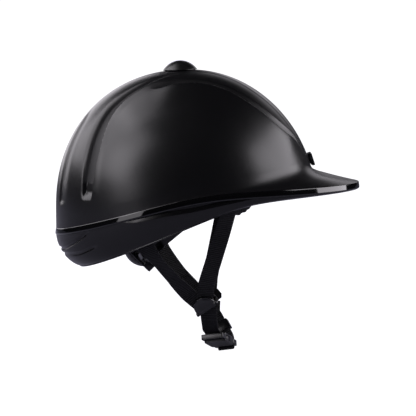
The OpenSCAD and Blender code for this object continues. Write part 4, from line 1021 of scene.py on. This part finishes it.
def strip_pad(name, node, first, last, height, channels, low):
    """A pad along the liner's wall, from angle first to last. Its lower edge goes from height low[0] to
    low[1] between the angles low[2] and low[3]."""
    steps = round(abs(last - first) * 1.9)
    rings = []
    for i in range(steps + 1):
        s = i / steps
        a = mix(first, last, s)
        end = math.sin(math.pi * mix(0.1, 0.9, s)) ** 0.35
        z0 = low[0] + (low[1] - low[0]) * ease((abs(a) - low[2]) / (low[3] - low[2]))
        ring = []
        for q, t in PAD_OUTLINE:
            z = z0 + height / 2 + (height - 2 * SLACK) * (q - 0.5) * end
            ring.append(cavity_at(a, z, 0) + inward(a) * (PAD_GAP + (PAD_T - SLACK) * t * end))
        rings.append(ring_of(ring))

    def share(p):
        return (cavity_angle(p) - first) / (last - first)

    def settle(p):
        a = cavity_angle(p)
        depth = (p - cavity_at(a, p.z, 0)).dot(inward(a))
        drawn = PAD_GAP + max(0.0, depth - PAD_GAP) * pinch(share(p), channels)
        return p + inward(a) * (drawn - depth)
    pitch = math.radians(abs(last - first)) * PAD_ARC_R / channels
    cushion(name, node, capped(rings), settle, {
        "seam": lambda p: seam(share(p), channels, pitch) if 0.04 < share(p) < 0.96 else 0.0,
        "run": lambda p: p.z * MM})


def under_crown(x, y, d):
    rx = DOME_FRONT - CROWN_X - LINER_IN - FOAM_END - d
    ry = DOME_W / 2 - LINER_IN - FOAM_SIDE - d
    t = (abs((x - CROWN_X) / rx) ** PLAN_POWER + abs(y / ry) ** PLAN_POWER) ** (REAR_POWER / PLAN_POWER)
    return EQUATOR + (CAVITY_TOP - EQUATOR - d) * (1 - t) ** (1 / REAR_POWER)


def crown_tuft(x, y):
    """How far the crown pad is drawn in at x, y, by tufts 30 mm apart."""
    return 0.4 * abs(cosd(x * 6) * cosd(y * 6)) ** 6


def build_crown_pad():
    columns, half_x, half_y = 96, 59, 42
    angles = [i * 360 / columns for i in range(columns)]
    top = PAD_GAP + 0.6

    def spot(a, s, drop):
        x, y = CROWN_X + (half_x - SLACK) * s * cosd(a), (half_y - SLACK) * s * sind(a)
        return Vector((x, y, under_crown(x, y, 0) - top - drop))
    rings = [[spot(0, 0, 0)] * columns]
    rings += [[spot(a, s, 0) for a in angles] for s in (0.15, 0.3, 0.45, 0.6, 0.72, 0.85, 0.93, 0.97)]
    for i in range(22):
        s = 1 - (i / 22) ** 1.3
        rings.append([spot(a, s, (PAD_T - SLACK) * (1 - s ** 6) ** 0.5 + (0.5 + s ** 8)) for a in angles])
    rings.append([spot(0, 0, PAD_T - SLACK)] * columns)

    def settle(p):
        back = under_crown(p.x, p.y, 0) - top
        return Vector((p.x, p.y, back - max(0.0, back - p.z) * (1 - crown_tuft(p.x, p.y))))
    cushion("crown_cushion", "crown_pad", [ring_of(r) for r in rings], settle, {
        "seam": lambda p: fade(crown_tuft(p.x, p.y), 0.34, 0.39), "run": lambda p: p.x * MM})


# Cradle, its pad and the bands
CRADLE_T, HOUSING_W, HOUSING_T = 2.4, 46, 9
DIAL_X, DIAL_Z, DIAL_TURN = -51.5, -52.5, 225


def on_dial(x, y, z):
    c, d = cosd(DIAL_TURN), sind(DIAL_TURN)
    return Vector((DIAL_X - x * c + z * d, y, DIAL_Z + x * d + z * c))


def cradle_path(steps):
    half = DOME_W / 2 - LINER_IN - FOAM_SIDE
    wing = [(x, y * half, RIM_BEND_Z - drop)
            for x, y, drop in zip((-20, -34, -41, -43.5), (0.9, 0.8, 0.616, 0.4), (41.4, 48.4, 53.4, 56.9))]
    centre = on_dial(3, 0, -HOUSING_T - 0.2 - CRADLE_T / 2)
    knots = [Vector(p) for p in wing]
    knots += [centre + Vector((0, y * (HOUSING_W / 2 + 3), 0)) for y in (1, 0.5, 0, -0.5, -1)]
    knots += [Vector((x, -y, z)) for x, y, z in wing[::-1]]
    lean = [Vector(f) for f in ((-0.25, 0, 1), (-0.35, 0, 1), (-0.5, 0, 1), (-0.8, 0, 1))]
    faces = lean + [Vector((-1, 0, 1))] * 5 + lean[::-1]
    widths = [15, 18, 22, 28, 33, 37, 38, 37, 33, 28, 22, 18, 15]
    spread = [v.y for v in smooth_path([Vector((i, w, 0)) for i, w in enumerate(widths)], steps)]
    return smooth_path(knots, steps), shared(faces, steps), spread


def build_cradle():
    path, faces, widths = cradle_path(10)
    # A raised bead along both edges of its outer face
    bead = [(0.5, 0.0), (0.495, 0.3), (0.48, 0.5), (0.4, 0.5), (0.39, 0.36), (0.2, 0.36)]
    back = [(-0.495, -0.35), (-0.48, -0.5), (-0.2, -0.5), (0.2, -0.5), (0.48, -0.5), (0.495, -0.35)]
    outline = bead + [(0, 0.36)] + [(-x, y) for x, y in bead[::-1]] + back
    rings = []
    for i, p in enumerate(path):
        d = (path[min(len(path) - 1, i + 1)] - path[max(0, i - 1)]).normalized()
        w = (faces[i] - d * faces[i].dot(d)).normalized()
        m = d.cross(w)
        short = 1 - 0.35 * (max(0, 1 - i / 6) ** 2 + max(0, 1 - (len(path) - 1 - i) / 6) ** 2)
        rings.append(ring_of([p + w * (x * widths[i] * short) + m * (y * CRADLE_T) for x, y in outline]))
    rings = [[path[0]] * len(rings[0])] + rings + [[path[-1]] * len(rings[0])]
    bm = closed_up(laid_grid(rings))
    finished("cradle_plate", bm, "hard_plastic", body="cradle", nodes=["cradle"], sharp=35)


def build_cradle_pad():
    steps, channels = 12, 4
    path, faces, widths = cradle_path(steps)
    first, last = 2 * steps, len(path) - 1 - 2 * steps
    back = CRADLE_T / 2 + 2 * PAD_GAP
    rings, frames = [], []
    for i in range(first, last + 1):
        d = (path[i + 1] - path[i - 1]).normalized()
        w = (faces[i] - d * faces[i].dot(d)).normalized()
        m = w.cross(d)
        s = (i - first) / (last - first)
        end = math.sin(math.pi * mix(0.08, 0.92, s)) ** 0.4
        half = widths[i] * 0.4 * mix(0.7, 1, end) - SLACK
        frames.append((path[i], w, m, s))
        rise = (PAD_T - 1 - SLACK) * end
        rings.append(ring_of([path[i] - w * ((q - 0.5) * 2 * half) + m * (back + rise * t)
                              for q, t in PAD_OUTLINE]))

    def nearest(p):
        return min(frames, key=lambda at: (at[0] - p).length_squared)

    def settle(p):
        at, w, m, s = nearest(p)
        depth = (p - at).dot(m)
        return p + m * (back + max(0.0, depth - back) * pinch(s, channels) - depth)
    cushion("cradle_cushion", "cradle_pad", capped(rings), settle, {
        "seam": lambda p: seam(nearest(p)[3], channels, 10 * math.pi),
        "run": lambda p: (p - nearest(p)[0]).dot(nearest(p)[1]) * MM}, body="cradle")


def eased(node, name, body, width, slot="hard_plastic", finish=None):
    """A copy of a rigid CAD node with its sharp edges eased, as moulded or turned parts have."""
    bm = bmesh.new()
    bm.from_mesh(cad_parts[node].data)
    bmesh.ops.remove_doubles(bm, verts=bm.verts, dist=2e-6)
    bmesh.ops.dissolve_limit(bm, angle_limit=math.radians(0.6), verts=bm.verts, edges=bm.edges)
    sharp = [e for e in bm.edges if e.is_manifold and e.calc_face_angle(0) > math.radians(32)]
    made = bmesh.ops.bevel(bm, geom=sharp, offset=width * MM, offset_type="OFFSET", segments=2, profile=0.5,
                           affect="EDGES", material=-1, clamp_overlap=True)
    edge = bm.verts.layers.float.new("edge")
    for v in made["verts"]:
        if v.is_valid:
            v[edge] = 1.0
    return finished(name, bm, slot, body=body, nodes=[node], finish=finish, sharp=28)


build_outer_shell()
build_edge_trim()
build_lower_shell()
build_liner()
build_button()
chin_web, chin_hold, chin_pull = build_straps()
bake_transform(chin_web)
strip_pad("brow_cushion", "brow_pad", -74, 74, 27, 7, (20, -8, 32, 62))
strip_pad("side_cushion_left", "side_pad_left", 87, 128, 24, 2, (0, -4, 87, 128))
strip_pad("side_cushion_right", "side_pad_right", -128, -87, 24, 2, (0, -4, 87, 128))
build_crown_pad()
build_cradle()
build_cradle_pad()
eased("front_badge", "badge_block", "helmet", 0.5, slot="badge_gloss")
for side in ("left", "right"):
    eased(f"front_anchor_{side}", f"front_bracket_{side}", "helmet", 0.35)
    eased(f"rear_anchor_{side}", f"rear_bracket_{side}", "helmet", 0.35)
    eased(f"divider_base_{side}", f"divider_plate_{side}", "helmet", 0.3)
    eased(f"divider_lever_{side}", f"divider_flap_{side}", f"lever_{side}", 0.35, finish="lever_plastic")
    build_lever_cap(f"divider_face_{side}", f"lever_{side}", 1 if side == "left" else -1)
    eased(f"lever_pin_{side}", f"hinge_pin_{side}", "helmet", 0.15, slot="steel")
    band = eased(f"band_{side}", f"toothed_band_{side}", None, 0.15)
    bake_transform(band)
for node, name, body, width, slot in (
        ("strap_keeper", "keeper_loop", "helmet", 0.4, "hard_plastic"),
        ("buckle_socket", "socket_body", "helmet", 0.55, "hard_plastic"),
        ("buckle_tongue", "tongue_frame", "tongue", 0.45, "hard_plastic"),
        ("buckle_arm_front", "latch_arm_front", "arm_front", 0.3, "hard_plastic"),
        ("buckle_arm_rear", "latch_arm_rear", "arm_rear", 0.3, "hard_plastic"),
        ("dial_housing", "dial_case", "cradle", 0.7, "hard_plastic"),
        ("dial_knob", "dial_cap", "dial", 0.3, "hard_plastic"),
        ("dial_pinion", "pinion_gear", "dial", 0.15, "nylon"),
        ("dial_screw", "dial_fixing", "dial", 0.15, "steel"),
        ("button_stud", "button_fixing", "helmet", 0.2, "steel"),
        ("band_pins", "band_rivets", "helmet", 0.2, "steel")):
    eased(node, name, body, width, slot=slot)

# Stage: a pale floor and a white surround, seen by the camera and, more softly, in reflections
floor_z = frame_box[0].z - 0.001
bm = bmesh.new()
bmesh.ops.create_grid(bm, x_segments=1, y_segments=1, size=12)
bmesh.ops.translate(bm, verts=bm.verts, vec=(0, 0, floor_z))
mesh = bpy.data.meshes.new("floor")
bm.to_mesh(mesh)
bm.free()
floor = bpy.data.objects.new("floor", mesh)
scene.collection.objects.link(floor)
ground = Finish("floor_paint", Roughness=0.9, Specular_IOR_Level=0.1)
eye = ground.node("ShaderNodeLightPath", output="Is Camera Ray")
shine = ground.node("ShaderNodeLightPath", output="Is Glossy Ray")
clear = ground.node("ShaderNodeLightPath", output="Is Transmission Ray")
away = ground.node("ShaderNodeVectorMath", {"operation": "LENGTH"}, {0: ground.place}, output="Value")
away = ground.step(away, 0.25, 1.3)
ground.paint(Base_Color=(0.18, 0.18, 0.22, 1), Emission_Color=(1, 1, 1, 1))
glow = eye * (away * 0.1 + 0.93) + (shine + clear) * 0.01
ground.tree.links.new(glow.socket, ground.shader.inputs["Emission Strength"])
mesh.materials.append(ground.material)

SKY_COLOUR, SKY_LIGHT, SKY_SEEN = (0.88, 0.87, 1, 1), 0.3, 1.2
world = bpy.data.worlds.new("studio")
scene.world = world
world.use_nodes = True
tree = world.node_tree
tree.nodes.clear()
ray, spot = tree.nodes.new("ShaderNodeLightPath"), tree.nodes.new("ShaderNodeTexCoord")
side, back = tree.nodes.new("ShaderNodeSeparateXYZ"), tree.nodes.new("ShaderNodeMapRange")
tree.links.new(spot.outputs["Generated"], side.inputs[0])
back.interpolation_type = "SMOOTHSTEP"
back.inputs["From Min"].default_value, back.inputs["From Max"].default_value = 0.75, 1.0
back.inputs["To Min"].default_value, back.inputs["To Max"].default_value = 0.004, 0.06
tree.links.new(side.outputs["Y"], back.inputs["Value"])


def chosen(share, first, second):
    """The world's strength where share is 0 and where it is 1."""
    node = tree.nodes.new("ShaderNodeMix")
    for index, value in ((0, share), (2, first), (3, second)):
        if isinstance(value, float):
            node.inputs[index].default_value = value
        else:
            tree.links.new(value, node.inputs[index])
    return node.outputs[0]


level = chosen(ray.outputs["Is Glossy Ray"], SKY_LIGHT, back.outputs[0])
level = chosen(ray.outputs["Is Transmission Ray"], level, back.outputs[0])
level = chosen(ray.outputs["Is Camera Ray"], level, SKY_SEEN)
sky, out = tree.nodes.new("ShaderNodeBackground"), tree.nodes.new("ShaderNodeOutputWorld")
tree.links.new(level, sky.inputs["Strength"])
sky.inputs["Color"].default_value = SKY_COLOUR
tree.links.new(sky.outputs[0], out.inputs[0])


LAMP_COLOUR = (0.98, 0.945, 1.0)


def softbox(name, azimuth, rise, wide, high, level, distance=1.6):
    """A soft box that faces the helmet, set by angles. Azimuth is rightwards from the camera's side."""
    width, height = (2 * distance * math.tan(math.radians(v / 2)) for v in (wide, high))
    lamp = bpy.data.lights.new(name, "AREA")
    lamp.shape, lamp.size, lamp.size_y = "RECTANGLE", width, height
    lamp.energy = level * math.pi * width * height
    lamp.color = LAMP_COLOUR
    obj = bpy.data.objects.new(name, lamp)
    scene.collection.objects.link(obj)
    a, e = math.radians(azimuth), math.radians(rise)
    obj.location = Vector((math.sin(a) * math.cos(e), -math.cos(a) * math.cos(e), math.sin(e))) * distance
    obj.rotation_euler = (-obj.location).to_track_quat("-Z", "Y").to_euler()
    obj.visible_camera = False


# name, azimuth, rise, width and height in degrees, level
for box in (("soft_left", -84, 36, 80, 42, 2.9), ("soft_key", -50, 25, 22, 20, 1.8),
            ("soft_high", -94, 62, 44, 22, 1.9), ("soft_low", -41, 9, 19, 16, 1.6),
            ("soft_right", 86, 25, 58, 24, 4.2), ("soft_edge", 91, 6, 34, 14, 4.2),
            ("soft_rear", -150, 14, 44, 26, 1.7), ("soft_far", 160, 22, 30, 20, 0.8)):
    softbox(*box)
